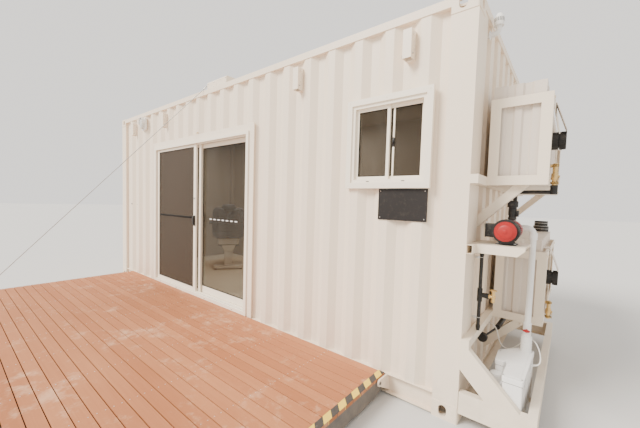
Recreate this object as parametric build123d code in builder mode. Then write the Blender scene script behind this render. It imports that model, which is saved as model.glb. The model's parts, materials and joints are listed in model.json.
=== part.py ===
from build123d import *
import math
import os

os.makedirs("parts", exist_ok=True)

# Container clinic: a 20 foot high-cube steel container with a sliding door, a window,
# a fold-down deck along its long front, and a water service rack on its right end.
# Millimetres. +X runs along the front to the right, +Y into the container, +Z up.
# The origin is at the base, under the centre of the whole object.
# Places along the front are measured from LEFT, depths from FRONT, and places on the
# service rack from RIGHT.

# Overall sizes
LENGTH = 6058.0
WIDTH = 2438.0
HEIGHT = 2896.0
SERVICE_REACH = 470.0
DECK_BOARDS = 26
BOARD_STEP = 90.0
DECK_WALL_GAP = 11.0
DECK_WIDTH = DECK_BOARDS * BOARD_STEP

LEFT = -(LENGTH + SERVICE_REACH) / 2
RIGHT = LEFT + LENGTH
FRONT = (DECK_WALL_GAP + DECK_WIDTH - WIDTH) / 2
BACK = FRONT + WIDTH

# Corner castings and posts
CASTING_LONG = 178.0
CASTING_DEEP = 162.0
CASTING_HIGH = 118.0
CASTING_WALL = 16.0
CASTING_ROUND = 14.0
FACE_HOLE_HIGH = 79.0
FACE_HOLE_WIDE = 56.0
HOLE_FROM_END = 102.5
HOLE_FROM_SIDE = 89.5
TOP_HOLE_LONG = 124.0
TOP_HOLE_WIDE = 63.5
POST_INSET = 4.0
POST_WALL = 6.0

# Rails
TOP_RAIL = 60.0
TOP_RAIL_WALL = 3.0
ROOF_DROP = 8.0
SILL_TOP = 163.0
SILL_BOTTOM = 13.0
SILL_DEEP = 48.0
SILL_WALL = 4.5

# Floor and its cross members
JOIST_HIGH = 122.0
JOIST_WIDE = 45.0
JOIST_WALL = 4.0
JOIST_PITCH = 310.0
FLOOR_BOTTOM = 147.0
FLOOR_THICK = 28.0
FLOOR_EDGE = 2.0

# Corrugated sheets
SHEET = 2.0
SHEET_INSET = 6.0
SIDE_PITCH = 278.0
SIDE_RIDGE = 72.0
SIDE_SLOPE = 68.0
SIDE_DEPTH = 36.0
SIDE_FIRST_RIDGE = 391.0
END_PITCH = 250.0
END_RIDGE = 110.0
END_SLOPE = 18.0
END_DEPTH = 45.6
END_FIRST_RIDGE = 164.0
ROOF_RIDGES = 28
ROOF_RIDGE = 91.0
ROOF_SLOPE = 13.5
ROOF_DEPTH = 20.0
HEADER_PLATE = 4.0

# Inner lining
LINING = 46.0
LINING_JOINT = 2.0
CEILING_DROP = 106.0
CEILING_THICK = 30.0

# Sliding door: frame, insect screen, fixed pane and sliding pane, from the outside in
DOOR_LEFT = 1420.0
DOOR_WIDE = 2340.0
DOOR_DROP = 631.0
DOOR_PROUD = 20.0
DOOR_DEEP = 120.0
JAMB = 40.0
HEAD = 35.0
THRESHOLD = 40.0
TRIM_BAND = 80.0
TRIM_PROUD = 4.0
RIB_HIGH = 14.0
RIB_THICK = 4.0
RIB_PLAY = 1.0
RIB_SEAT = 0.3
LEAF_LIFT = 5.0
LEAF_GAP = 5.0
LEAF_MEETING = 1162.0
MEETING_PLAY = 2.0
MEETING_LAP = 64.0
SCREEN_DEPTH = 8.0
SCREEN_THICK = 24.0
SCREEN_STILE = 58.0
SCREEN_RAIL = 50.0
SCREEN_HEAD = 30.0
MESH_THICK = 3.0
MIDRAIL_Z = 1195.0
MIDRAIL_HIGH = 18.0
MIDRAIL_THICK = 8.0
HANDLE_HIGH = 130.0
HANDLE_WIDE = 26.0
HANDLE_PROUD = 30.0
FIXED_DEPTH = 41.0
FIXED_THICK = 22.0
FIXED_STILE = 44.0
SLIDER_DEPTH = 70.0
SLIDER_THICK = 26.0
SLIDER_STILE = 60.0
SLIDER_RAIL = 85.0
SLIDER_HEAD = 55.0
GLASS_THICK = 6.0

# Window
WINDOW_FROM_RIGHT = 306.0
WINDOW_WIDE = 622.0
WINDOW_DROP = 608.0
WINDOW_TALL = 623.0
WINDOW_TRIM = 46.0
WINDOW_PROUD = 25.0
WINDOW_DEEP = 105.0
WINDOW_FACE = 26.0
SASH = 24.0
SASH_THICK = 20.0
SASH_DEPTH = 12.0
SASH_LAP = 16.0
PANE_THICK = 5.0

# Pieces on the front wall
NOTICE_FROM_RIGHT = 278.0
NOTICE_WIDE = 390.0
NOTICE_TALL = 240.0
NOTICE_GAP = 4.0
LIGHT_X = 1000.0
LIGHT_DROP = 201.0
LIGHT_WIDE = 140.0
LIGHT_HIGH = 210.0
LIGHT_BASE = 28.0
LIGHT_LENS = 42.0
LIGHT_RIM = 5.0
HOOD_LIP = 8.0
SOCKETS_FROM_LEFT = (640.0, 1760.0)
SOCKETS_FROM_RIGHT = (1558.0, 458.0)
SOCKET_WIDE = 65.0
SOCKET_WALL = 4.0
SOCKET_DROP = 146.0
SOCKET_TALL = 202.0

# Deck and its hinge
DECK_LEFT = 550.0
DECK_FROM_RIGHT = 548.0
DECK_TOP = 173.0
BOARD_THICK = 25.0
BOARD_GROOVE = 6.0
BOARD_GROOVE_DEEP = 7.0
DECK_FRAME_HIGH = 115.0
DECK_FRAME_WIDE = 50.0
DECK_FRAME_WALL = 4.0
DECK_INNER_HIGH = 75.0
DECK_JOIST_PITCH = 620.0
HINGE_OUT = 115.0
HINGE_Z = 138.0
HINGE_PIN_R = 12.0
HINGE_PLAY = 0.3
HINGE_EYE_R = 26.0
HINGE_LUG = 14.0
HINGE_GAP = 5.0

# Taut stay from a lug on the deck's left edge to the roof winch
STAY_R = 4.0
STAY_OUT = 1816.0
STAY_LUG_THICK = 12.0
STAY_LUG_WIDE = 50.0
STAY_LUG_TOP = 200.0
STAY_SEAT = 4.0
STAY_TOP_DEPTH = 30.0
STAY_OVER_ROOF = 62.0
WINCH_LEFT = 2862.0
WINCH_LONG = 413.0
WINCH_DEEP = 130.0
WINCH_HIGH = 95.0
WINCH_ROUND = 18.0
WINCH_BUSH_OUT = 15.0
WINCH_BUSH_IN = 8.0
WINCH_BUSH_R = 12.0

# Water service rack on the right end
BEAM_WIDE = 50.0
BEAM_HIGH = 60.0
BEAM_WALL = 3.0
UPPER_BEAM_Z = 1650.0
LOWER_BEAM_Z = 545.0
BEAM_END = 4.0
CAGE_OUT = 400.0
CAGE_HIGH = 594.0
CAGE_LEG = 64.0
CAGE_SHEET = 5.0
UPPER_CAGE_DEPTH = 270.0
LOWER_CAGE_DEPTH = 800.0
CAGE_FROM_BACK = 270.0
UPPER_CAGE_Z = 1653.0
LOWER_CAGE_Z = 560.0
BRACE_WIDE = 62.0
BRACE_THICK = 50.0
BRACE_REACH = 292.0

# Tanks in the cages
TANK_PLAY = 4.0
TANK_FRONT_PLAY = 20.0
TANK_OUTER_PLAY = 36.0
TANK_OVER = 90.0
TANK_WALL = 8.0
TANK_FLUTE = 12.0
TANK_FLUTE_WIDE = 62.0
TANK_FLUTE_STEP = 115.0
TANK_LID = 18.0
HOOD_AT = 300.0
HOOD_WIDE = 150.0
HOOD_SHEET = 4.0
HOOD_OVER = 1.0
HOOD_LOW_DROP = 277.0
HOOD_OUT = 65.0
CAP_R = 63.0
CAP_DROP = 345.0
CAP_COLLAR = 24.0
CAP_NECK = 8.0
CAP_STEP = 12.0
STRAINER_R = 72.0
STRAINER_HIGH = 118.0
STRAINER_STEP = 10.0
STRAINER_FROM_BACK = 130.0
STRAINER_OUT = 85.0

# Guard frame round the waste box
GUARD_HIGH = 150.0
GUARD_WIDE = 50.0
GUARD_WALL = 6.0
GUARD_Z = 88.0
GUARD_OUT = 440.0
GUARD_FROM_BACK = 378.0
GUARD_BRACE_FACE = 140.0
SLATS = (150.0, 480.0)
SLAT_WIDE = 60.0

# Pump and its shelf
SHELF_FRONT = 95.0
SHELF_IN = 81.0
SHELF_OUT = 315.0
SHELF_LOW = 1185.0
SHELF_TOP = 1245.0
SHELF_DEEP = 335.0
SHELF_SHEET = 4.0
SHELF_LIP = 40.0
SHELF_SPACER = 39.0
PUMP_X = 195.0
PUMP_AXIS_HIGH = 93.0
PUMP_SETBACK = 28.0
PUMP_COVER_R = 66.0
PUMP_COVER_RIM = 26.0
PUMP_COVER_DOME = 16.0
PUMP_COVER_FLAT = 40.0
PUMP_BOSS_R = 13.0
PUMP_BOSS = 4.0
PUMP_SHIELD_R = 82.0
PUMP_SHIELD = 12.0
PUMP_BODY_R = 68.0
PUMP_BODY = 140.0
PUMP_FIN = 10.0
PUMP_FIN_THICK = 3.0
PUMP_FINS = 20
PUMP_HEAD_R = 70.0
PUMP_HEAD = 124.0
PUMP_FOOT_WIDE = 120.0
PUMP_FOOT_LONG = 26.0
PUMP_FOOT_THICK = 8.0
PUMP_FOOT_RIB = 60.0
PUMP_BOX_OUT = 128.0
PUMP_BOX_LONG = 105.0
PUMP_BOX_HIGH = 96.0
CONTROL_R = 27.0
CONTROL_HIGH = 165.0
CONTROL_CAP_R = 34.0
CONTROL_CAP = 45.0

# Waste pipe and waste box
WASTE_X = 318.0
WASTE_DEPTH = 570.0
WASTE_Z = 1350.0
WASTE_R = 21.0
WASTE_BEND = 45.0
WASTE_SOCKET = 5.0
WASTE_SOCKET_LONG = 36.0
COUPLING_R = 35.0
COUPLING_HIGH = 118.0
UNION_R = 26.0
UNION_HIGH = 95.0
WASTE_BOX_Z = 94.0
WASTE_BOX_TOP = 420.0
WASTE_BOX_ROUND = 10.0
WASTE_LID = 34.0
WASTE_LID_OVER = 4.0
WASTE_LID_ROUND = 4.0
WASTE_BOX_IN = 241.0
WASTE_BOX_OUT = 353.0
WASTE_BOX_SPREAD = 13.0
WASTE_BOX_NEAR = 56.0
WASTE_BOX_FAR = 612.0
WASTE_ARM_IN = 166.0
WASTE_ARM_NEAR = 275.0
WASTE_ARM_FAR = 457.0
WASTE_ARM_FLARE = 8.0
WASTE_NOTCH = 26.0
WASTE_NOTCH_DEEP = 85.0
OUTLET_DEPTH = 232.0
OUTLET_OUT = 62.0
OUTLET_R = 36.0
OUTLET_LOW = 240.0
OUTLET_HIGH = 95.0
OUTLET_STUB_R = 24.0
OUTLET_STUB_Z = 280.0

# Black pipes, brass and the vent
DRAIN_CAP = (38.0, 458.0, 476.0)
DRAIN_BEND = (98.0, 740.0, 490.0)
DRAIN_END = (104.0, 1000.0, 490.0)
DRAIN_CAP_R = 33.0
DRAIN_CAP_LONG = 40.0
DRAIN_THIN_R = 8.0
DRAIN_THICK_R = 20.0
DRAIN_CLIP = 20.0
VALVE_DEPTH = 240.0
VALVE_OUT = 22.5
FEED_X = 45.0
FEED_DEPTH = 250.0
FEED_R = 12.0
FEED_TEE = 56.0
FEED_TEE_Z = 865.0
FEED_SOCKET = 5.0
SUCTION_R = 13.0
SUCTION_BEND = 34.0
UPPER_DRAIN_DROP = 38.0
VALVE_LOW = 10.0
VALVE_HIGH = 150.0
VALVE_R = 15.0
VALVE_BODY = 6.0
VALVE_STEM = 14.0
TAP_LONG = 45.0
TAP_DROP = 27.0
VENT_DEPTH = 344.0
VENT_DROP = 161.0
VENT_R = 18.0
VENT_OUT = 50.0
VENT_RISE = 60.0
VENT_BEND = 28.0
COWL_R = 32.0
COWL_LIFT = 50.0
COWL_SIDE = 55.0
COWL_TOP = 88.0
COWL_SHOULDER = 85.0

# Power cord of the waste box: places from the right end, the front and the base
CORD_R = 4.0
CORD_GLAND_R = 11.0
CORD_GLAND = 20.0
CORD_ROUTE = [(14, 734, 519), (48, 734, 519), (82, 697, 518), (110, 668, 486), (122, 664, 429),
              (145, 664, 376), (187, 662, 362), (230, 655, 385), (264, 648, 424), (293, 643, 464),
              (327, 632, 496), (357, 612, 504), (383, 585, 488), (403, 553, 455), (415, 520, 419),
              (414, 493, 390), (400, 474, 374), (374, 464, 372)]

# Treatment chair inside, seen from behind through the door: X is towards its back
CHAIR_X = 1420.0
CHAIR_DEPTH = 1360.0
CHAIR_TURN = -35.0
CHAIR_FOOT = 22.0
CHAIR_FOOT_R = 24.0
CHAIR_FOOT_IN = 34.0
CHAIR_BASE_LONG = 430.0
CHAIR_BASE_WIDE = 530.0
CHAIR_BASE_THICK = 46.0
CHAIR_BASE_ROUND = 60.0
CHAIR_COLUMN_LONG = 200.0
CHAIR_COLUMN_WIDE = 160.0
CHAIR_COLUMN_ROUND = 26.0
CHAIR_LINK_WIDE = 270.0
CHAIR_LINK_Z = 330.0
CHAIR_BOX_Z = 475.0
CHAIR_BOX_LONG = 430.0
CHAIR_BOX_WIDE = 380.0
CHAIR_BOX_ROUND = 24.0
CHAIR_SEAT_Z = 592.0
CHAIR_SEAT_THICK = 120.0
CHAIR_SEAT_LONG = 520.0
CHAIR_SEAT_WIDE = 560.0
CHAIR_SEAT_ROUND = 70.0
CHAIR_PAD_ROUND = 24.0
CHAIR_BACK_AT = 190.0
CHAIR_BACK_THICK = 105.0
CHAIR_BACK_WIDE = 640.0
CHAIR_BACK_TALL = 640.0
CHAIR_BACK_LEAN = 14.0
CHAIR_BACK_ROUND = 110.0
CHAIR_DIP_WIDE = 250.0
CHAIR_DIP_DEEP = 105.0
CHAIR_HEAD_WIDE = 270.0
CHAIR_HEAD_TALL = 170.0
CHAIR_HEAD_THICK = 85.0
CHAIR_HEAD_RISE = 95.0
CHAIR_HEAD_ROUND = 60.0
CHAIR_NECK = 70.0
CHAIR_ARM_LONG = 380.0
CHAIR_ARM_WIDE = 76.0
CHAIR_ARM_THICK = 58.0
CHAIR_ARM_Z = 850.0
CHAIR_ARM_OUT = 318.0
CHAIR_ARM_POST = 46.0
CHAIR_LEG_TALL = 380.0
CHAIR_LEG_WIDE = 440.0
CHAIR_LEG_THICK = 85.0
CHAIR_LEG_LEAN = 28.0

ROUNDING = 1e-6

# Levels and places that follow from the sizes above
ROOF_Z = HEIGHT - ROOF_DROP
RAIL_Z = ROOF_Z - TOP_RAIL
FLOOR_TOP = FLOOR_BOTTOM + FLOOR_THICK
CEILING_BOTTOM = HEIGHT - CEILING_DROP
DOOR_RIGHT = DOOR_LEFT + DOOR_WIDE
DOOR_TOP = HEIGHT - DOOR_DROP
WINDOW_RIGHT = LENGTH - WINDOW_FROM_RIGHT
WINDOW_LEFT = WINDOW_RIGHT - WINDOW_WIDE
WINDOW_TOP = HEIGHT - WINDOW_DROP
WINDOW_BOTTOM = WINDOW_TOP - WINDOW_TALL
NOTICE_TOP = WINDOW_BOTTOM - WINDOW_TRIM - NOTICE_GAP
LIGHT_Z = HEIGHT - LIGHT_DROP
SOCKETS = SOCKETS_FROM_LEFT + tuple(LENGTH - place for place in SOCKETS_FROM_RIGHT)
SOCKET_HIGH = HEIGHT - SOCKET_DROP
SOCKET_LOW = SOCKET_HIGH - SOCKET_TALL
DECK_RIGHT = LENGTH - DECK_FROM_RIGHT
WALL_LEFT = LEFT + CASTING_LONG
WALL_RIGHT = RIGHT - CASTING_LONG
END_FRONT = FRONT + CASTING_DEEP
END_BACK = BACK - CASTING_DEEP
SHEET_BACK = SHEET_INSET + SIDE_DEPTH + SHEET
END_SHEET_BACK = SHEET_INSET + END_DEPTH + SHEET
ROOF_PITCH = (WALL_RIGHT - WALL_LEFT - ROOF_RIDGE) / (ROOF_RIDGES - 1)
OPENING_LEFT = DOOR_LEFT + JAMB
OPENING_RIGHT = DOOR_RIGHT - JAMB
OPENING_LOW = FLOOR_TOP + THRESHOLD
OPENING_TOP = DOOR_TOP - HEAD
SCREEN_WIDE = LEAF_MEETING - LEAF_GAP - MEETING_PLAY
FIXED_WIDE = LEAF_MEETING + MEETING_LAP
SLIDER_WIDE = OPENING_RIGHT - OPENING_LEFT - LEAF_MEETING - LEAF_GAP
LEAF_LOW = OPENING_LOW + LEAF_LIFT
LEAF_TOP = OPENING_TOP - LEAF_LIFT
HINGE_Y = FRONT - HINGE_OUT
BOARDS_LOW = DECK_TOP - BOARD_THICK
DECK_LOW = BOARDS_LOW - DECK_FRAME_HIGH
DECK_IN = FRONT - DECK_WALL_GAP
DECK_OUT = DECK_IN - DECK_WIDTH
CAGE_IN = BEAM_WIDE - POST_INSET
CAGE_BACK = WIDTH - CAGE_FROM_BACK
GUARD_BACK = WIDTH - GUARD_FROM_BACK
SHELF_BACK = SHELF_FRONT + SHELF_DEEP
PUMP_Z = SHELF_TOP + PUMP_AXIS_HIGH
VENT_Z = HEIGHT - VENT_DROP



def front_plane(y):
    """Sketch x is X and sketch y is Z; a negative extrusion runs into the container."""
    return Plane(origin=(0, y, 0), x_dir=(1, 0, 0), z_dir=(0, -1, 0))


def side_plane(x):
    """Sketch x is Y and sketch y is Z; a positive extrusion runs to the right."""
    return Plane(origin=(x, 0, 0), x_dir=(0, 1, 0), z_dir=(1, 0, 0))


def level_plane(z):
    """Sketch x and y are X and Y; a positive extrusion runs upwards."""
    return Plane(origin=(0, 0, z), x_dir=(1, 0, 0), z_dir=(0, 0, 1))


def add_prism(plane, points, length, mode=Mode.ADD):
    """Extrudes a closed outline given in a plane."""
    with BuildSketch(plane) as profile:
        with BuildLine():
            Polyline(*points, close=True)
        make_face()
    extrude(profile.sketch, amount=length, mode=mode)


def add_block(low, high, mode=Mode.ADD):
    """Plain block between two corners."""
    size = [b - a for a, b in zip(low, high)]
    with Locations(tuple(low)):
        Box(*size, align=(Align.MIN, Align.MIN, Align.MIN), mode=mode)


def add_tube(low, high, wall, axis):
    """Rectangular hollow section between two corners, open at both ends of its axis."""
    add_block(low, high)
    inner_low = [a if i == axis else a + wall for i, a in enumerate(low)]
    inner_high = [b if i == axis else b - wall for i, b in enumerate(high)]
    add_block(inner_low, inner_high, mode=Mode.SUBTRACT)


def add_channel(plane, web, tip, low, high, wall, length):
    """Channel with its web at sketch x = web, its flange tips at tip, between two heights."""
    side = 1 if tip > web else -1
    outline = [(web, low), (tip, low), (tip, low + wall), (web + side * wall, low + wall),
               (web + side * wall, high - wall), (tip, high - wall), (tip, high), (web, high)]
    add_prism(plane, outline, length)


def add_rod(start, end, radius, mode=Mode.ADD):
    """Round bar between two points."""
    run = Vector(*end) - Vector(*start)
    with BuildSketch(Plane(origin=start, z_dir=run)) as profile:
        Circle(radius)
    extrude(profile.sketch, amount=run.length, mode=mode)


def add_ring(plane, outer, inner, length):
    """Rectangular ring; outer and inner are (low x, low y, high x, high y)."""
    with BuildSketch(plane) as ring:
        for box, mode in ((outer, Mode.ADD), (inner, Mode.SUBTRACT)):
            with Locations(((box[0] + box[2]) / 2, (box[1] + box[3]) / 2)):
                Rectangle(box[2] - box[0], box[3] - box[1], mode=mode)
    extrude(ring.sketch, amount=length)


def rack_point(place):
    """Point given from the right end, the front and the base."""
    return (RIGHT + place[0], FRONT + place[1], place[2])


def save(builder, name):
    """Labels one piece and writes it."""
    builder.part.label = name
    export_step(builder.part, f"parts/{name}.step")


def ridge_marks(first, last, start, pitch, ridge, slope, depth):
    """Breakpoints (place, depth) of a corrugated sheet whose first ridge begins at start."""
    marks = []
    place = start
    while place + ridge <= last + ROUNDING:
        marks += [(place - slope, depth), (place, 0.0)]
        marks += [(place + ridge, 0.0), (place + ridge + slope, depth)]
        place += pitch
    inside = [mark for mark in marks if first + ROUNDING < mark[0] < last - ROUNDING]
    edge = 0.0 if start < first + ROUNDING else depth
    return [(first, edge)] + inside + [(last, edge)]


def depth_at(marks, place):
    """Depth of the sheet's outer face at one place along it."""
    for (a, depth_a), (b, depth_b) in zip(marks, marks[1:]):
        if a <= place <= b:
            return depth_a + (depth_b - depth_a) * (place - a) / (b - a)
    return marks[-1][1]


def sheet_face(marks, start, end):
    """Points of the sheet's outer face between two places."""
    inner = [mark for mark in marks if start < mark[0] < end]
    return [(start, depth_at(marks, start))] + inner + [(end, depth_at(marks, end))]


def sheet_outline(marks, start, end):
    """Closed outline of the sheet between two places, as (place, depth) points."""
    face = sheet_face(marks, start, end)
    return face + [(place, depth + SHEET) for place, depth in reversed(face)]


SIDE_MARKS = ridge_marks(CASTING_LONG, LENGTH - CASTING_LONG, SIDE_FIRST_RIDGE,
                         SIDE_PITCH, SIDE_RIDGE, SIDE_SLOPE, SIDE_DEPTH)
END_MARKS = ridge_marks(CASTING_DEEP, WIDTH - CASTING_DEEP, END_FIRST_RIDGE,
                        END_PITCH, END_RIDGE, END_SLOPE, END_DEPTH)
ROOF_MARKS = ridge_marks(CASTING_LONG, LENGTH - CASTING_LONG, CASTING_LONG,
                         ROOF_PITCH, ROOF_RIDGE, ROOF_SLOPE, ROOF_DEPTH)


def front_sheet(start, end, low, high):
    """Stretch of the front wall's corrugated sheet between two places and two heights."""
    outline = [(LEFT + place, FRONT + SHEET_INSET + depth)
               for place, depth in sheet_outline(SIDE_MARKS, start, end)]
    add_prism(level_plane(low), outline, high - low)


def end_sheet(x, outward):
    """Whole end wall, with its ridges' faces at x and outward +1 to the right or -1 to the left."""
    outline = [(x - outward * depth, FRONT + place)
               for place, depth in sheet_outline(END_MARKS, CASTING_DEEP, WIDTH - CASTING_DEEP)]
    add_prism(level_plane(SILL_TOP), outline, RAIL_Z - SILL_TOP)


# Corner castings: hollow blocks with a lifting hole in each outer face
with BuildPart() as corner_castings:
    casting_lows = [(x, y, z) for x in (LEFT, RIGHT - CASTING_LONG)
                    for y in (FRONT, BACK - CASTING_DEEP) for z in (0, HEIGHT - CASTING_HIGH)]
    for low in casting_lows:
        add_block(low, (low[0] + CASTING_LONG, low[1] + CASTING_DEEP, low[2] + CASTING_HIGH))
    outer_edges = corner_castings.edges().filter_by(Axis.Z).filter_by(
        lambda edge: min(abs(edge.center().X - LEFT), abs(edge.center().X - RIGHT)) < 1
        and min(abs(edge.center().Y - FRONT), abs(edge.center().Y - BACK)) < 1)
    fillet(outer_edges, CASTING_ROUND)
    for low in casting_lows:
        wall = CASTING_WALL
        high = (low[0] + CASTING_LONG, low[1] + CASTING_DEEP, low[2] + CASTING_HIGH)
        add_block([a + wall for a in low], [b - wall for b in high], mode=Mode.SUBTRACT)
        middle = (LEFT + HOLE_FROM_END if low[0] == LEFT else RIGHT - HOLE_FROM_END,
                  FRONT + HOLE_FROM_SIDE if low[1] == FRONT else BACK - HOLE_FROM_SIDE,
                  (low[2] + high[2]) / 2)
        face_x = LEFT if low[0] == LEFT else RIGHT - wall
        face_y = FRONT + wall if low[1] == FRONT else BACK
        face_z = 0 if low[2] == 0 else HEIGHT - wall
        with BuildSketch(side_plane(face_x)) as end_hole:
            with Locations((middle[1], middle[2])):
                SlotOverall(FACE_HOLE_HIGH, FACE_HOLE_WIDE, rotation=90)
        extrude(end_hole.sketch, amount=wall, mode=Mode.SUBTRACT)
        with BuildSketch(front_plane(face_y)) as face_hole:
            with Locations((middle[0], middle[2])):
                SlotOverall(FACE_HOLE_HIGH, FACE_HOLE_WIDE, rotation=90)
        extrude(face_hole.sketch, amount=wall, mode=Mode.SUBTRACT)
        with BuildSketch(level_plane(face_z)) as top_hole:
            with Locations((middle[0], middle[1])):
                SlotOverall(TOP_HOLE_LONG, TOP_HOLE_WIDE)
        extrude(top_hole.sketch, amount=wall, mode=Mode.SUBTRACT)
save(corner_castings, "corner_castings")

# Corner posts stand between the castings, set in from their outer faces
with BuildPart() as corner_posts:
    for x in (LEFT + POST_INSET, RIGHT - CASTING_LONG):
        for y in (FRONT + POST_INSET, BACK - CASTING_DEEP):
            add_tube((x, y, CASTING_HIGH),
                     (x + CASTING_LONG - POST_INSET, y + CASTING_DEEP - POST_INSET, HEIGHT - CASTING_HIGH),
                     POST_WALL, 2)
save(corner_posts, "corner_posts")

# Top rails join the upper castings on all four sides
with BuildPart() as top_rails:
    for y in (FRONT, BACK - TOP_RAIL):
        add_tube((WALL_LEFT, y, RAIL_Z), (WALL_RIGHT, y + TOP_RAIL, ROOF_Z), TOP_RAIL_WALL, 0)
    for x in (LEFT, RIGHT - TOP_RAIL):
        add_tube((x, END_FRONT, RAIL_Z), (x + TOP_RAIL, END_BACK, ROOF_Z), TOP_RAIL_WALL, 1)
save(top_rails, "top_rails")

# Bottom rails: channels that open outwards; the front one carries the deck's two hinge lugs
with BuildPart() as bottom_rails:
    span = WALL_RIGHT - WALL_LEFT
    add_channel(side_plane(WALL_LEFT), FRONT + SILL_DEEP, FRONT, SILL_BOTTOM, SILL_TOP, SILL_WALL, span)
    add_channel(side_plane(WALL_LEFT), BACK - SILL_DEEP, BACK, SILL_BOTTOM, SILL_TOP, SILL_WALL, span)
    depth = END_BACK - END_FRONT
    add_channel(front_plane(END_FRONT), LEFT + SILL_DEEP, LEFT, SILL_BOTTOM, SILL_TOP, SILL_WALL, -depth)
    add_channel(front_plane(END_FRONT), RIGHT - SILL_DEEP, RIGHT, SILL_BOTTOM, SILL_TOP, SILL_WALL, -depth)
    for x in (LEFT + DECK_LEFT - HINGE_GAP - HINGE_LUG, LEFT + DECK_RIGHT + HINGE_GAP):
        with BuildSketch(side_plane(x)) as lug:
            with BuildLine():
                Polyline((FRONT + SILL_DEEP - SILL_WALL, SILL_TOP - SILL_WALL),
                         (HINGE_Y, HINGE_Z + HINGE_EYE_R), (HINGE_Y, HINGE_Z - HINGE_EYE_R),
                         (FRONT + SILL_DEEP - SILL_WALL, SILL_BOTTOM + SILL_WALL),
                         close=True)
            make_face()
            with Locations((HINGE_Y, HINGE_Z)):
                Circle(HINGE_EYE_R)
                Circle(HINGE_PIN_R + HINGE_PLAY, mode=Mode.SUBTRACT)
        extrude(lug.sketch, amount=HINGE_LUG)
save(bottom_rails, "bottom_rails")

# Cross members under the floor
with BuildPart() as cross_members:
    bay = WALL_RIGHT - WALL_LEFT - JOIST_WIDE
    bays = int(bay // JOIST_PITCH)
    for i in range(bays + 1):
        x = WALL_LEFT + i * bay / bays
        add_channel(front_plane(FRONT + SILL_DEEP), x, x + JOIST_WIDE, FLOOR_BOTTOM - JOIST_HIGH,
                    FLOOR_BOTTOM, JOIST_WALL, -(WIDTH - 2 * SILL_DEEP))
save(cross_members, "cross_members")

with BuildPart() as floor:
    edge = SILL_DEEP + FLOOR_EDGE
    end_edge = END_SHEET_BACK + FLOOR_EDGE
    add_block((WALL_LEFT, FRONT + edge, FLOOR_BOTTOM), (WALL_RIGHT, BACK - edge, FLOOR_TOP))
    add_block((LEFT + end_edge, END_FRONT + FLOOR_EDGE, FLOOR_BOTTOM),
              (RIGHT - end_edge, END_BACK - FLOOR_EDGE, FLOOR_TOP))
save(floor, "floor")

# Roof: a corrugated sheet between two flat header plates
with BuildPart() as roof:
    outline = [(LEFT + place, ROOF_Z - depth) for place, depth in
               sheet_outline(ROOF_MARKS, CASTING_LONG, LENGTH - CASTING_LONG)]
    add_prism(front_plane(FRONT + TOP_RAIL), outline, -(WIDTH - 2 * TOP_RAIL))
    for x, reach in ((LEFT + TOP_RAIL, CASTING_LONG - TOP_RAIL), (RIGHT - TOP_RAIL, TOP_RAIL - CASTING_LONG)):
        add_block((min(x, x + reach), END_FRONT, ROOF_Z - HEADER_PLATE),
                  (max(x, x + reach), END_BACK, ROOF_Z))
save(roof, "roof")

# Front wall in three stretches, beside and over the door
with BuildPart() as front_wall_left:
    front_sheet(CASTING_LONG, DOOR_LEFT, SILL_TOP, RAIL_Z)
save(front_wall_left, "front_wall_left")

with BuildPart() as front_wall_over_door:
    front_sheet(DOOR_LEFT, DOOR_RIGHT, DOOR_TOP, RAIL_Z)
save(front_wall_over_door, "front_wall_over_door")

WINDOW_LOW_CORNER = (LEFT + WINDOW_LEFT, WINDOW_BOTTOM)
WINDOW_HIGH_CORNER = (LEFT + WINDOW_RIGHT, WINDOW_TOP)

with BuildPart() as front_wall_right:
    front_sheet(DOOR_RIGHT, LENGTH - CASTING_LONG, SILL_TOP, RAIL_Z)
    add_block((WINDOW_LOW_CORNER[0], FRONT, WINDOW_LOW_CORNER[1]),
              (WINDOW_HIGH_CORNER[0], FRONT + SHEET_BACK, WINDOW_HIGH_CORNER[1]), mode=Mode.SUBTRACT)
save(front_wall_right, "front_wall_right")

with BuildPart() as back_wall:
    outline = [(LEFT + place, BACK - SHEET_INSET - depth) for place, depth in
               sheet_outline(SIDE_MARKS, CASTING_LONG, LENGTH - CASTING_LONG)]
    add_prism(level_plane(SILL_TOP), outline, RAIL_Z - SILL_TOP)
save(back_wall, "back_wall")

with BuildPart() as left_end_wall:
    end_sheet(LEFT + SHEET_INSET, -1)
save(left_end_wall, "left_end_wall")

# Right end wall, with the gland that the power cord leaves by
with BuildPart() as right_end_wall:
    end_sheet(RIGHT - SHEET_INSET, 1)
    gland = rack_point(CORD_ROUTE[0])
    sheet_at = RIGHT - SHEET_INSET - depth_at(END_MARKS, CORD_ROUTE[0][1])
    add_rod((sheet_at - SHEET / 2, gland[1], gland[2]), gland, CORD_GLAND_R)
save(right_end_wall, "right_end_wall")

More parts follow.
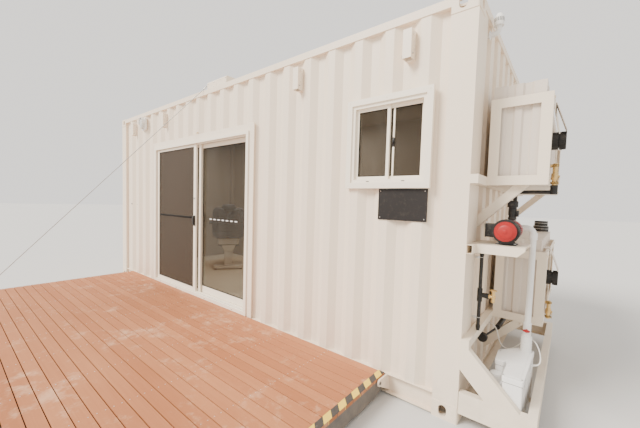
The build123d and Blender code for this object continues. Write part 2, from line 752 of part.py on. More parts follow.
# Insulated lining panels inside the walls, with open joints between them
with BuildPart() as wall_linings:
    lining_front = FRONT + SHEET_BACK
    lining_back = BACK - SHEET_BACK
    left_panel = (LEFT + DOOR_LEFT - LINING_JOINT / 2, LEFT + DOOR_RIGHT + LINING_JOINT / 2)
    add_block((WALL_LEFT, lining_front, FLOOR_TOP), (left_panel[0], lining_front + LINING, CEILING_BOTTOM))
    add_block((left_panel[0] + LINING_JOINT, lining_front, DOOR_TOP),
              (left_panel[1] - LINING_JOINT, lining_front + LINING, CEILING_BOTTOM))
    add_block((left_panel[1], lining_front, FLOOR_TOP), (WALL_RIGHT, lining_front + LINING, CEILING_BOTTOM))
    add_block((WINDOW_LOW_CORNER[0], lining_front, WINDOW_LOW_CORNER[1]),
              (WINDOW_HIGH_CORNER[0], lining_front + LINING, WINDOW_HIGH_CORNER[1]), mode=Mode.SUBTRACT)
    add_block((WALL_LEFT, lining_back - LINING, FLOOR_TOP), (WALL_RIGHT, lining_back, CEILING_BOTTOM))
    for x in (LEFT + END_SHEET_BACK, RIGHT - END_SHEET_BACK - LINING):
        add_block((x, END_FRONT + LINING_JOINT, FLOOR_TOP),
                  (x + LINING, END_BACK - LINING_JOINT, CEILING_BOTTOM))
save(wall_linings, "wall_linings")

with BuildPart() as ceiling:
    edge = TOP_RAIL + FLOOR_EDGE
    add_block((WALL_LEFT, FRONT + edge, CEILING_BOTTOM),
              (WALL_RIGHT, BACK - edge, CEILING_BOTTOM + CEILING_THICK))
    add_block((LEFT + edge, END_FRONT + FLOOR_EDGE, CEILING_BOTTOM),
              (RIGHT - edge, END_BACK - FLOOR_EDGE, CEILING_BOTTOM + CEILING_THICK))
save(ceiling, "ceiling")

# Flat trim band round the door, lying on the ridges of the wall
with BuildPart() as door_trim:
    trim_outline = [(LEFT + DOOR_LEFT - TRIM_BAND, SILL_TOP), (LEFT + DOOR_LEFT, SILL_TOP),
                    (LEFT + DOOR_LEFT, DOOR_TOP), (LEFT + DOOR_RIGHT, DOOR_TOP),
                    (LEFT + DOOR_RIGHT, SILL_TOP), (LEFT + DOOR_RIGHT + TRIM_BAND, SILL_TOP),
                    (LEFT + DOOR_RIGHT + TRIM_BAND, DOOR_TOP + TRIM_BAND),
                    (LEFT + DOOR_LEFT - TRIM_BAND, DOOR_TOP + TRIM_BAND)]
    add_prism(front_plane(FRONT - TRIM_PROUD), trim_outline, -(TRIM_PROUD + SHEET_INSET))
save(door_trim, "door_trim")


def rib_depth(depth, thick):
    """Depth from the front of the track rib on a leaf's centre plane."""
    return depth + thick / 2


# Door frame with its threshold, the ribs that the leaves run on, and the fixed pane's members
with BuildPart() as door_frame:
    add_ring(front_plane(FRONT - DOOR_PROUD),
             (LEFT + DOOR_LEFT, FLOOR_TOP, LEFT + DOOR_RIGHT, DOOR_TOP),
             (LEFT + OPENING_LEFT, OPENING_LOW, LEFT + OPENING_RIGHT, OPENING_TOP), -DOOR_DEEP)
    add_block((LEFT + DOOR_LEFT, FRONT, SILL_TOP), (LEFT + DOOR_RIGHT, FRONT + SILL_DEEP, FLOOR_TOP))
    for depth in (rib_depth(SCREEN_DEPTH, SCREEN_THICK), rib_depth(SLIDER_DEPTH, SLIDER_THICK)):
        for low in (OPENING_LOW, OPENING_TOP - RIB_HIGH):
            add_block((LEFT + OPENING_LEFT, FRONT + depth - RIB_THICK / 2, low),
                      (LEFT + OPENING_RIGHT, FRONT + depth + RIB_THICK / 2, low + RIB_HIGH))
    fixed_outer = (LEFT + OPENING_LEFT, OPENING_LOW, LEFT + OPENING_LEFT + FIXED_WIDE, OPENING_TOP)
    fixed_inner = (fixed_outer[0] + FIXED_STILE, fixed_outer[1] + FIXED_STILE,
                   fixed_outer[2] - FIXED_STILE, fixed_outer[3] - FIXED_STILE)
    add_ring(front_plane(FRONT + FIXED_DEPTH), fixed_outer, fixed_inner, -FIXED_THICK)
save(door_frame, "door_frame")


def leaf_box(left, wide, stile, rail, head):
    """Outer and inner rectangles of a sliding leaf."""
    outer = (LEFT + left, LEAF_LOW, LEFT + left + wide, LEAF_TOP)
    inner = (outer[0] + stile, outer[1] + rail, outer[2] - stile, outer[3] - head)
    return outer, inner


def add_leaf(outer, inner, depth, thick):
    """Leaf frame with the grooves that ride over the track ribs."""
    add_ring(front_plane(FRONT + depth), outer, inner, -thick)
    centre = FRONT + rib_depth(depth, thick)
    half = RIB_THICK / 2 + RIB_PLAY
    seat = RIB_HIGH - LEAF_LIFT + RIB_SEAT
    add_block((outer[0], centre - half, outer[1]), (outer[2], centre + half, outer[1] + seat),
              mode=Mode.SUBTRACT)
    add_block((outer[0], centre - half, outer[3] - seat - RIB_PLAY), (outer[2], centre + half, outer[3]),
              mode=Mode.SUBTRACT)


screen_outer, screen_inner = leaf_box(OPENING_LEFT + LEAF_GAP, SCREEN_WIDE, SCREEN_STILE, SCREEN_RAIL,
                                      SCREEN_HEAD)
slider_outer, slider_inner = leaf_box(OPENING_RIGHT - LEAF_GAP - SLIDER_WIDE, SLIDER_WIDE,
                                      SLIDER_STILE, SLIDER_RAIL, SLIDER_HEAD)

# Insect screen's frame, with the pull handle on its right stile
with BuildPart() as screen_door_frame:
    add_leaf(screen_outer, screen_inner, SCREEN_DEPTH, SCREEN_THICK)
    face = FRONT + SCREEN_DEPTH
    low = MIDRAIL_Z - HANDLE_HIGH / 2
    high = MIDRAIL_Z + HANDLE_HIGH / 2
    with BuildSketch(side_plane((screen_inner[2] + screen_outer[2] - HANDLE_WIDE) / 2)) as grip:
        with BuildLine():
            Polyline((face, low), (face, high), (face - HANDLE_PROUD / 2, high),
                     (face - HANDLE_PROUD, high - HANDLE_WIDE), (face - HANDLE_PROUD, low + HANDLE_WIDE),
                     (face - HANDLE_PROUD / 2, low), close=True)
        make_face()
    extrude(grip.sketch, amount=HANDLE_WIDE)
save(screen_door_frame, "screen_door_frame")

# Mesh sheet with its middle rail
with BuildPart() as screen_mesh:
    depth = FRONT + rib_depth(SCREEN_DEPTH, SCREEN_THICK)
    add_block((screen_inner[0], depth - MESH_THICK / 2, screen_inner[1]),
              (screen_inner[2], depth + MESH_THICK / 2, screen_inner[3]))
    add_block((screen_inner[0], depth - MIDRAIL_THICK / 2, MIDRAIL_Z - MIDRAIL_HIGH / 2),
              (screen_inner[2], depth + MIDRAIL_THICK / 2, MIDRAIL_Z + MIDRAIL_HIGH / 2))
save(screen_mesh, "screen_mesh")

with BuildPart() as sliding_door_frame:
    add_leaf(slider_outer, slider_inner, SLIDER_DEPTH, SLIDER_THICK)
save(sliding_door_frame, "sliding_door_frame")

with BuildPart() as sliding_door_pane:
    depth = FRONT + rib_depth(SLIDER_DEPTH, SLIDER_THICK) - GLASS_THICK / 2
    add_block((slider_inner[0], depth, slider_inner[1]),
              (slider_inner[2], depth + GLASS_THICK, slider_inner[3]))
save(sliding_door_pane, "sliding_door_pane")

# Window: proud trim, frame through the wall, and two sashes, the right one behind the left
with BuildPart() as window_frame:
    hole = (*WINDOW_LOW_CORNER, *WINDOW_HIGH_CORNER)
    trim = (hole[0] - WINDOW_TRIM, hole[1] - WINDOW_TRIM, hole[2] + WINDOW_TRIM, hole[3] + WINDOW_TRIM)
    sight = (hole[0] + WINDOW_FACE, hole[1] + WINDOW_FACE, hole[2] - WINDOW_FACE, hole[3] - WINDOW_FACE)
    add_ring(front_plane(FRONT - WINDOW_PROUD), trim, hole, -(WINDOW_PROUD + SHEET_INSET))
    add_ring(front_plane(FRONT - WINDOW_PROUD / 2), hole, sight, -WINDOW_DEEP)
    sash_split = (sight[0] + sight[2]) / 2
    sash_boxes = [(sight[0], sight[1], sash_split + SASH_LAP, sight[3]),
                  (sash_split - SASH_LAP, sight[1], sight[2], sight[3])]
    for i, box in enumerate(sash_boxes):
        inner = (box[0] + SASH, box[1] + SASH, box[2] - SASH, box[3] - SASH)
        add_ring(front_plane(FRONT + SASH_DEPTH + i * SASH_THICK), box, inner, -SASH_THICK)
save(window_frame, "window_frame")

# The panes that don't move: both window sashes and the left half of the door
with BuildPart() as fixed_panes:
    for i, box in enumerate(sash_boxes):
        depth = FRONT + SASH_DEPTH + i * SASH_THICK + (SASH_THICK - PANE_THICK) / 2
        add_block((box[0] + SASH, depth, box[1] + SASH), (box[2] - SASH, depth + PANE_THICK, box[3] - SASH))
    depth = FRONT + FIXED_DEPTH + (FIXED_THICK - GLASS_THICK) / 2
    add_block((fixed_inner[0], depth, fixed_inner[1]), (fixed_inner[2], depth + GLASS_THICK, fixed_inner[3]))
save(fixed_panes, "fixed_panes")

with BuildPart() as notice_board:
    notice_right = RIGHT - NOTICE_FROM_RIGHT
    add_block((notice_right - NOTICE_WIDE, FRONT, NOTICE_TOP - NOTICE_TALL),
              (notice_right, FRONT + SHEET_INSET, NOTICE_TOP))
save(notice_board, "notice_board")

# Bulkhead light: rounded base, domed lens and a hood over it
with BuildPart() as wall_light:
    base_face = FRONT + SHEET_INSET - LIGHT_BASE
    with BuildSketch(front_plane(FRONT + SHEET_INSET)) as light_back:
        with Locations((LEFT + LIGHT_X, LIGHT_Z)):
            RectangleRounded(LIGHT_WIDE, LIGHT_HIGH, LIGHT_WIDE / 3)
    extrude(light_back.sketch, amount=LIGHT_BASE)
    with BuildSketch(front_plane(base_face)) as lens_foot:
        with Locations((LEFT + LIGHT_X, LIGHT_Z)):
            Ellipse(LIGHT_WIDE * 0.40, LIGHT_HIGH * 0.42)
    with BuildSketch(front_plane(base_face - LIGHT_LENS)) as lens_top:
        with Locations((LEFT + LIGHT_X, LIGHT_Z)):
            Ellipse(LIGHT_WIDE * 0.24, LIGHT_HIGH * 0.30)
    loft([lens_foot.sketch, lens_top.sketch])
    with BuildSketch(front_plane(base_face)) as hood:
        with Locations((LEFT + LIGHT_X, LIGHT_Z)):
            Ellipse(LIGHT_WIDE / 2 - 1, LIGHT_HIGH / 2 - 1)
            Ellipse(LIGHT_WIDE / 2 - 1 - LIGHT_RIM, LIGHT_HIGH / 2 - 1 - LIGHT_RIM, mode=Mode.SUBTRACT)
        with Locations((LEFT + LIGHT_X, LIGHT_Z - LIGHT_HIGH / 2)):
            Rectangle(LIGHT_WIDE, LIGHT_HIGH, mode=Mode.SUBTRACT)
    extrude(hood.sketch, amount=LIGHT_LENS + HOOD_LIP)
save(wall_light, "wall_light")

# Post sockets under the top rail: square cups, open below, cut to the sheet behind them
with BuildPart() as deck_sockets:
    for place in SOCKETS:
        edges = (place - SOCKET_WIDE / 2, place + SOCKET_WIDE / 2)
        back = [(LEFT + at, FRONT + SHEET_INSET + depth) for at, depth in sheet_face(SIDE_MARKS, *edges)]
        tip = FRONT + SHEET_INSET - SOCKET_WIDE
        outline = [(LEFT + edges[0], tip)] + back + [(LEFT + edges[1], tip)]
        add_prism(level_plane(SOCKET_LOW), outline, SOCKET_HIGH - SOCKET_LOW)
        add_block((LEFT + edges[0] + SOCKET_WALL, tip + SOCKET_WALL, SOCKET_LOW),
                  (LEFT + edges[1] - SOCKET_WALL, FRONT + SHEET_INSET - SOCKET_WALL,
                   SOCKET_HIGH - SOCKET_WALL),
                  mode=Mode.SUBTRACT)
save(deck_sockets, "deck_sockets")

# Roof winch housing on the front top rail, with the bush that the stay leaves by
STAY_LOW_POINT = Vector(LEFT + DECK_LEFT - STAY_LUG_THICK / 2, FRONT - STAY_OUT, STAY_LUG_TOP + STAY_SEAT)
STAY_HIGH_POINT = Vector(LEFT + WINCH_LEFT - WINCH_BUSH_OUT, FRONT + STAY_TOP_DEPTH, ROOF_Z + STAY_OVER_ROOF)
STAY_WAY = (STAY_HIGH_POINT - STAY_LOW_POINT).normalized()

with BuildPart() as roof_winch:
    winch_low = (LEFT + WINCH_LEFT, FRONT + STAY_TOP_DEPTH - WINCH_BUSH_R, ROOF_Z)
    winch_high = (winch_low[0] + WINCH_LONG, winch_low[1] + WINCH_DEEP, ROOF_Z + WINCH_HIGH)
    add_block(winch_low, winch_high)
    fillet(roof_winch.edges().filter_by(Axis.X).sort_by(Axis.Z)[-2:], WINCH_ROUND)
    bush_end = STAY_HIGH_POINT + STAY_WAY * ((WINCH_BUSH_OUT + WINCH_BUSH_IN) / STAY_WAY.X)
    add_rod(tuple(STAY_HIGH_POINT), tuple(bush_end), WINCH_BUSH_R)
save(roof_winch, "roof_winch")

with BuildPart() as stay_cable:
    add_rod(tuple(STAY_LOW_POINT), tuple(STAY_HIGH_POINT), STAY_R)
save(stay_cable, "stay_cable")

# Deck frame: tubes round the edge, joists across, hinge pins at both ends and the stay's lug
with BuildPart() as deck_frame:
    left = LEFT + DECK_LEFT
    right = LEFT + DECK_RIGHT
    wide = DECK_FRAME_WIDE
    add_tube((left, DECK_OUT, DECK_LOW), (right, DECK_OUT + wide, BOARDS_LOW), DECK_FRAME_WALL, 0)
    add_tube((left, DECK_IN - wide, BOARDS_LOW - DECK_INNER_HIGH), (right, DECK_IN, BOARDS_LOW),
             DECK_FRAME_WALL, 0)
    side_outline = [(DECK_OUT, DECK_LOW), (DECK_OUT, BOARDS_LOW), (DECK_IN, BOARDS_LOW),
                    (DECK_IN, BOARDS_LOW - DECK_INNER_HIGH), (DECK_IN - 3 * wide, DECK_LOW)]
    for x in (left, right - wide):
        add_prism(side_plane(x), side_outline, wide)
        with BuildSketch(side_plane(x + DECK_FRAME_WALL)) as side_hollow:
            with BuildLine():
                Polyline(*side_outline, close=True)
            make_face()
            offset(amount=-DECK_FRAME_WALL)
        extrude(side_hollow.sketch, amount=wide - 2 * DECK_FRAME_WALL, mode=Mode.SUBTRACT)
    joist_bays = int((right - left) // DECK_JOIST_PITCH)
    for i in range(1, joist_bays):
        x = left + i * (right - left) / joist_bays - wide / 2
        add_tube((x, DECK_OUT + wide, BOARDS_LOW - DECK_INNER_HIGH), (x + wide, DECK_IN - wide, BOARDS_LOW),
                 DECK_FRAME_WALL, 1)
    reach = HINGE_GAP + HINGE_LUG + HINGE_GAP
    add_rod((left - reach, HINGE_Y, HINGE_Z), (left, HINGE_Y, HINGE_Z), HINGE_PIN_R)
    add_rod((right, HINGE_Y, HINGE_Z), (right + reach, HINGE_Y, HINGE_Z), HINGE_PIN_R)
    with BuildSketch(side_plane(left - STAY_LUG_THICK)) as stay_lug:
        with BuildLine():
            half = STAY_LUG_WIDE / 2
            top = STAY_LUG_TOP - half / 2
            a = FRONT - STAY_OUT
            Polyline((a - half, DECK_LOW + half), (a + half, DECK_LOW + half), (a + half, top),
                     (a + half / 2, STAY_LUG_TOP), (a - half / 2, STAY_LUG_TOP), (a - half, top), close=True)
        make_face()
    extrude(stay_lug.sketch, amount=STAY_LUG_THICK)
save(deck_frame, "deck_frame")

# Deck boards: one decking slab, grooved between the boards
with BuildPart() as deck_boards:
    add_block((left, DECK_OUT, BOARDS_LOW), (right, DECK_IN, DECK_TOP))
    for i in range(1, DECK_BOARDS):
        y = DECK_OUT + i * BOARD_STEP
        add_block((left, y - BOARD_GROOVE / 2, DECK_TOP - BOARD_GROOVE_DEEP),
                  (right, y + BOARD_GROOVE / 2, DECK_TOP),
                  mode=Mode.SUBTRACT)
save(deck_boards, "deck_boards")

BRACE_CUT = BRACE_WIDE * math.sqrt(2)
RECESS_X = -END_SHEET_BACK + SHEET


def recess_middle(index):
    """Depth from the front of one recess of the end wall, counted from the front."""
    return END_FIRST_RIDGE + index * END_PITCH + (END_RIDGE + END_PITCH) / 2


# Beams along the right end that carry the tank cages, and the braces under the cages
with BuildPart() as tank_rack:
    for z in (UPPER_BEAM_Z, LOWER_BEAM_Z):
        add_tube((RIGHT - POST_INSET, FRONT, z), (RIGHT + CAGE_IN, BACK, z + BEAM_HIGH), BEAM_WALL, 1)
        for end in (FRONT, BACK - BEAM_END):
            add_block((RIGHT - POST_INSET, end, z), (RIGHT + CAGE_IN, end + BEAM_END, z + BEAM_HIGH))
    last_recess = int((CAGE_BACK - BRACE_THICK / 2 - recess_middle(0)) // END_PITCH)
    for base, recess in ((UPPER_CAGE_Z, 0), (LOWER_CAGE_Z, 2), (UPPER_CAGE_Z, last_recess),
                         (LOWER_CAGE_Z, last_recess)):
        drop = BRACE_REACH - RECESS_X
        outline = [(RIGHT + BRACE_REACH - BRACE_CUT, base), (RIGHT + BRACE_REACH, base),
                   (RIGHT + RECESS_X, base - drop), (RIGHT + RECESS_X, base - drop + BRACE_CUT)]
        add_prism(front_plane(FRONT + recess_middle(recess) - BRACE_THICK / 2), outline, -BRACE_THICK)
save(tank_rack, "tank_rack")


def add_cage(depth, base):
    """Open cage of steel angles with a tray under the tank."""
    low = (RIGHT + CAGE_IN, FRONT + depth, base)
    high = (RIGHT + CAGE_OUT, FRONT + CAGE_BACK, base + CAGE_HIGH)
    t = CAGE_SHEET
    a = CAGE_LEG
    add_block(low, high)
    add_block((low[0] + t, low[1] + t, low[2] + t), (high[0] - t, high[1] - t, high[2]), mode=Mode.SUBTRACT)
    add_block((low[0] + a, low[1], low[2] + a), (high[0] - a, high[1], high[2] - a), mode=Mode.SUBTRACT)
    middle = (low[1] + high[1]) / 2
    for start, end in ((low[1] + a, middle - a / 2), (middle + a / 2, high[1] - a)):
        add_block((low[0], start, low[2] + a), (high[0], end, high[2] - a), mode=Mode.SUBTRACT)


with BuildPart() as tank_cages:
    add_cage(UPPER_CAGE_DEPTH, UPPER_CAGE_Z)
    add_cage(LOWER_CAGE_DEPTH, LOWER_CAGE_Z)
save(tank_cages, "tank_cages")


def fluted_side(start, end):
    """Points along one side of a tank, with flutes pressed inwards; the inside lies to the left."""
    way = Vector(*end) - Vector(*start)
    length = way.length
    way = way.normalized()
    inward = Vector(-way.Y, way.X)
    count = max(1, int((length - TANK_FLUTE_STEP / 2) // TANK_FLUTE_STEP))
    points = [start]
    for i in range(count):
        middle = length * (i + 1) / (count + 1)
        for step, sunk in ((-0.5, 0), (-0.3, 1), (0.3, 1), (0.5, 0)):
            spot = Vector(*start) + way * (middle + step * TANK_FLUTE_WIDE) + inward * (TANK_FLUTE * sunk)
            points.append((spot.X, spot.Y))
    return points


def tank_plan(depth, inset=0.0):
    """Low and high corners of a tank in plan."""
    rim = CAGE_SHEET + inset
    return ((RIGHT + CAGE_IN + rim + TANK_PLAY, FRONT + depth + rim + TANK_FRONT_PLAY),
            (RIGHT + CAGE_OUT - rim - TANK_OUTER_PLAY, FRONT + CAGE_BACK - rim - TANK_FRONT_PLAY))


def tank_outline(depth):
    """Fluted outline of a tank in plan."""
    low, high = tank_plan(depth)
    corners = [low, (high[0], low[1]), high, (low[0], high[1])]
    outline = []
    for start, end in zip(corners, corners[1:] + corners[:1]):
        outline += fluted_side(start, end)
    return outline


TANKS = ((UPPER_CAGE_DEPTH, UPPER_CAGE_Z), (LOWER_CAGE_DEPTH, LOWER_CAGE_Z))
TANK_FACE = RIGHT + CAGE_OUT - CAGE_SHEET - TANK_OUTER_PLAY
TANK_TALL = CAGE_HIGH + TANK_OVER

# Slimline tanks: fluted shells with a closed bottom, a filler neck on the outer side and over it
# a bent splash plate that hangs from the brim
with BuildPart() as tank_shells:
    for depth, base in TANKS:
        bottom = base + CAGE_SHEET
        top = base + TANK_TALL - TANK_LID
        add_prism(level_plane(bottom), tank_outline(depth), top - bottom)
        in_low, in_high = tank_plan(depth, TANK_WALL + TANK_FLUTE)
        add_block((*in_low, bottom + TANK_WALL), (*in_high, top), mode=Mode.SUBTRACT)
        face = RIGHT + CAGE_OUT + HOOD_OVER
        ledge = base + CAGE_HIGH + HOOD_OVER
        low_edge = base + TANK_TALL - HOOD_LOW_DROP
        plate = [(TANK_FACE - TANK_WALL, ledge), (face, ledge), (face + HOOD_OUT, low_edge),
                 (face + HOOD_OUT + HOOD_SHEET, low_edge), (face + HOOD_SHEET, ledge + HOOD_SHEET),
                 (TANK_FACE - TANK_WALL, ledge + HOOD_SHEET)]
        add_prism(front_plane(FRONT + depth + HOOD_AT), plate, -HOOD_WIDE)
save(tank_shells, "tank_shells")

with BuildPart() as tank_lids:
    for depth, base in TANKS:
        add_prism(level_plane(base + TANK_TALL - TANK_LID), tank_outline(depth), TANK_LID)
save(tank_lids, "tank_lids")

# Filler caps under the splash plates, and a stepped strainer on each lid
with BuildPart() as filler_caps:
    for depth, base in TANKS:
        z = base + TANK_TALL - CAP_DROP
        y = FRONT + depth + HOOD_AT + HOOD_WIDE / 2
        rim = RIGHT + CAGE_OUT + CAP_COLLAR
        add_rod((TANK_FACE, y, z), (rim, y, z), CAP_R)
        add_rod((rim, y, z), (rim + CAP_NECK, y, z), CAP_R - CAP_STEP)
        add_rod((rim + CAP_NECK, y, z), (RIGHT + SERVICE_REACH, y, z), CAP_R)
        strainer = (TANK_FACE - STRAINER_OUT, FRONT + CAGE_BACK - STRAINER_FROM_BACK)
        brim = base + TANK_TALL
        add_rod((*strainer, brim), (*strainer, brim + STRAINER_HIGH / 2), STRAINER_R)
        add_rod((*strainer, brim + STRAINER_HIGH / 2), (*strainer, brim + STRAINER_HIGH),
                STRAINER_R - STRAINER_STEP)
save(filler_caps, "filler_caps")

# Guard frame: channels round the waste box, with a wide brace at each end and slats under the box
with BuildPart() as guard_frame:
    top = GUARD_Z + GUARD_HIGH
    out = RIGHT + GUARD_OUT
    back = FRONT + GUARD_BACK
    add_channel(side_plane(RIGHT), FRONT, FRONT + GUARD_WIDE, GUARD_Z, top, GUARD_WALL, GUARD_OUT)
    add_channel(side_plane(RIGHT), back, back - GUARD_WIDE, GUARD_Z, top, GUARD_WALL, GUARD_OUT)
    add_channel(front_plane(FRONT), out, out - GUARD_WIDE, GUARD_Z, top, GUARD_WALL, -GUARD_BACK)
    for y, way in ((FRONT, 1), (back, -1)):
        foot = GUARD_BRACE_FACE * math.sqrt(2)
        inner = RIGHT - (POST_INSET if way > 0 else 0)
        high = LOWER_BEAM_Z
        shift = RIGHT + CAGE_IN - inner
        run = high - top
        web = [(inner, high), (RIGHT + CAGE_IN, high), (RIGHT + CAGE_IN + run, top),
               (RIGHT + CAGE_IN + run - foot, top), (inner, high + shift - foot)]
        add_prism(front_plane(y), web, -way * GUARD_WALL)
        flange = [(RIGHT + CAGE_IN, high), (RIGHT + CAGE_IN + run, top),
                  (RIGHT + CAGE_IN + run - GUARD_WALL * math.sqrt(2), top),
                  (RIGHT + CAGE_IN - GUARD_WALL * math.sqrt(2), high)]
        add_prism(front_plane(y), flange, -way * GUARD_WIDE)
    for slat in SLATS:
        add_block((RIGHT, FRONT + slat, GUARD_Z),
                  (out - GUARD_WIDE / 2, FRONT + slat + SLAT_WIDE, GUARD_Z + GUARD_WALL))
    add_block((RIGHT, FRONT + GUARD_WALL, GUARD_Z),
              (RIGHT + GUARD_WIDE, back - GUARD_WALL, GUARD_Z + GUARD_WALL))
save(guard_frame, "guard_frame")

# Pump shelf: a spacer tube along the post, and a tray with a deep lip at its front and back
# that is cut away at its outer lower corner
with BuildPart() as pump_shelf:
    spacer = RIGHT + SHELF_SPACER - POST_INSET
    shelf_back = FRONT + SHELF_BACK
    add_tube((RIGHT - POST_INSET, FRONT, SHELF_LOW), (spacer, shelf_back, SHELF_TOP), BEAM_WALL, 1)
    add_block((spacer, FRONT + SHELF_FRONT, SHELF_LOW), (RIGHT + SHELF_IN, shelf_back, SHELF_TOP))
    out = RIGHT + SHELF_OUT
    lip = [(RIGHT + SHELF_IN, SHELF_LOW), (out - SHELF_LIP, SHELF_LOW), (out, SHELF_LOW + SHELF_LIP),
           (out, SHELF_TOP), (RIGHT + SHELF_IN, SHELF_TOP)]
    for y in (FRONT + SHELF_FRONT, shelf_back - SHELF_LIP):
        add_prism(front_plane(y), lip, -SHELF_LIP)
    add_block((RIGHT + SHELF_IN, FRONT + SHELF_FRONT, SHELF_TOP - SHELF_SHEET), (out, shelf_back, SHELF_TOP))
save(pump_shelf, "pump_shelf")

# Pump: domed fan cover, end shield, finned motor, terminal box, pump head, feet and pressure control
PUMP_AT = (RIGHT + PUMP_X, FRONT + SHELF_FRONT + PUMP_SETBACK)
PUMP_HEAD_BACK = PUMP_AT[1] + PUMP_COVER_DOME + PUMP_COVER_RIM + PUMP_SHIELD + PUMP_BODY + PUMP_HEAD

with BuildPart() as water_pump:
    x, y = PUMP_AT
    rim = y + PUMP_COVER_DOME
    shield = rim + PUMP_COVER_RIM
    body = shield + PUMP_SHIELD
    head = body + PUMP_BODY
    with BuildSketch(Plane(origin=(x, 0, PUMP_Z), x_dir=(1, 0, 0), z_dir=(0, 0, 1))) as cover_half:
        with BuildLine():
            Polyline((0, y - PUMP_BOSS), (PUMP_BOSS_R, y - PUMP_BOSS), (PUMP_BOSS_R, y), (PUMP_COVER_FLAT, y),
                     (PUMP_COVER_R, rim), (PUMP_COVER_R, shield), (0, shield), close=True)
        make_face()
    revolve(cover_half.sketch, axis=Axis((x, 0, PUMP_Z), (0, 1, 0)))
    add_rod((x, shield, PUMP_Z), (x, body, PUMP_Z), PUMP_SHIELD_R)
    add_rod((x, body, PUMP_Z), (x, head, PUMP_Z), PUMP_BODY_R)
    with BuildSketch(front_plane(body)) as fins:
        with Locations((x, PUMP_Z)):
            with PolarLocations(PUMP_BODY_R, PUMP_FINS):
                Rectangle(2 * PUMP_FIN, PUMP_FIN_THICK)
    extrude(fins.sketch, amount=-PUMP_BODY)
    add_rod((x, head, PUMP_Z), (x, head + PUMP_HEAD, PUMP_Z), PUMP_HEAD_R)
    for foot in (body, head - PUMP_FOOT_LONG):
        add_block((x - PUMP_FOOT_WIDE / 2, foot, SHELF_TOP),
                  (x + PUMP_FOOT_WIDE / 2, foot + PUMP_FOOT_LONG, SHELF_TOP + PUMP_FOOT_THICK))
        add_block((x - PUMP_FOOT_RIB / 2, foot, SHELF_TOP + PUMP_FOOT_THICK),
                  (x + PUMP_FOOT_RIB / 2, foot + PUMP_FOOT_LONG, PUMP_Z - PUMP_BODY_R / 2))
    add_block((x - PUMP_BOX_OUT, body, PUMP_Z - PUMP_BOX_HIGH / 2),
              (x - PUMP_BODY_R / 2, body + PUMP_BOX_LONG, PUMP_Z + PUMP_BOX_HIGH / 2))
    control = (x, head + PUMP_HEAD - CONTROL_R)
    add_rod((*control, PUMP_Z), (*control, PUMP_Z + CONTROL_HIGH), CONTROL_R)
    add_rod((*control, PUMP_Z + CONTROL_HIGH), (*control, PUMP_Z + CONTROL_HIGH + CONTROL_CAP), CONTROL_CAP_R)
save(water_pump, "water_pump")

# Waste pipe: out of the wall, a bend, then down through a socket and a union into its coupling
WASTE_TOP_POINT = (RIGHT + WASTE_X, FRONT + WASTE_DEPTH)
WASTE_UNION_Z = WASTE_BOX_TOP + COUPLING_HIGH

with BuildPart() as waste_pipe:
    with BuildLine() as waste_route:
        FilletPolyline((RIGHT + RECESS_X, WASTE_TOP_POINT[1], WASTE_Z), (*WASTE_TOP_POINT, WASTE_Z),
                       (*WASTE_TOP_POINT, WASTE_UNION_Z), radius=WASTE_BEND)
    wall_point = (RIGHT + RECESS_X, WASTE_TOP_POINT[1], WASTE_Z)
    with BuildSketch(Plane(origin=wall_point, z_dir=(1, 0, 0))) as waste_round:
        Circle(WASTE_R)
    sweep(waste_round.sketch, path=waste_route.line)
    socket_top = WASTE_Z - WASTE_BEND + WASTE_SOCKET
    add_rod((*WASTE_TOP_POINT, socket_top - WASTE_SOCKET_LONG), (*WASTE_TOP_POINT, socket_top),
            WASTE_R + WASTE_SOCKET)
    add_rod((*WASTE_TOP_POINT, WASTE_BOX_TOP), (*WASTE_TOP_POINT, WASTE_UNION_Z), COUPLING_R)
    add_rod((*WASTE_TOP_POINT, WASTE_UNION_Z), (*WASTE_TOP_POINT, WASTE_UNION_Z + UNION_HIGH), UNION_R)
save(waste_pipe, "waste_pipe")

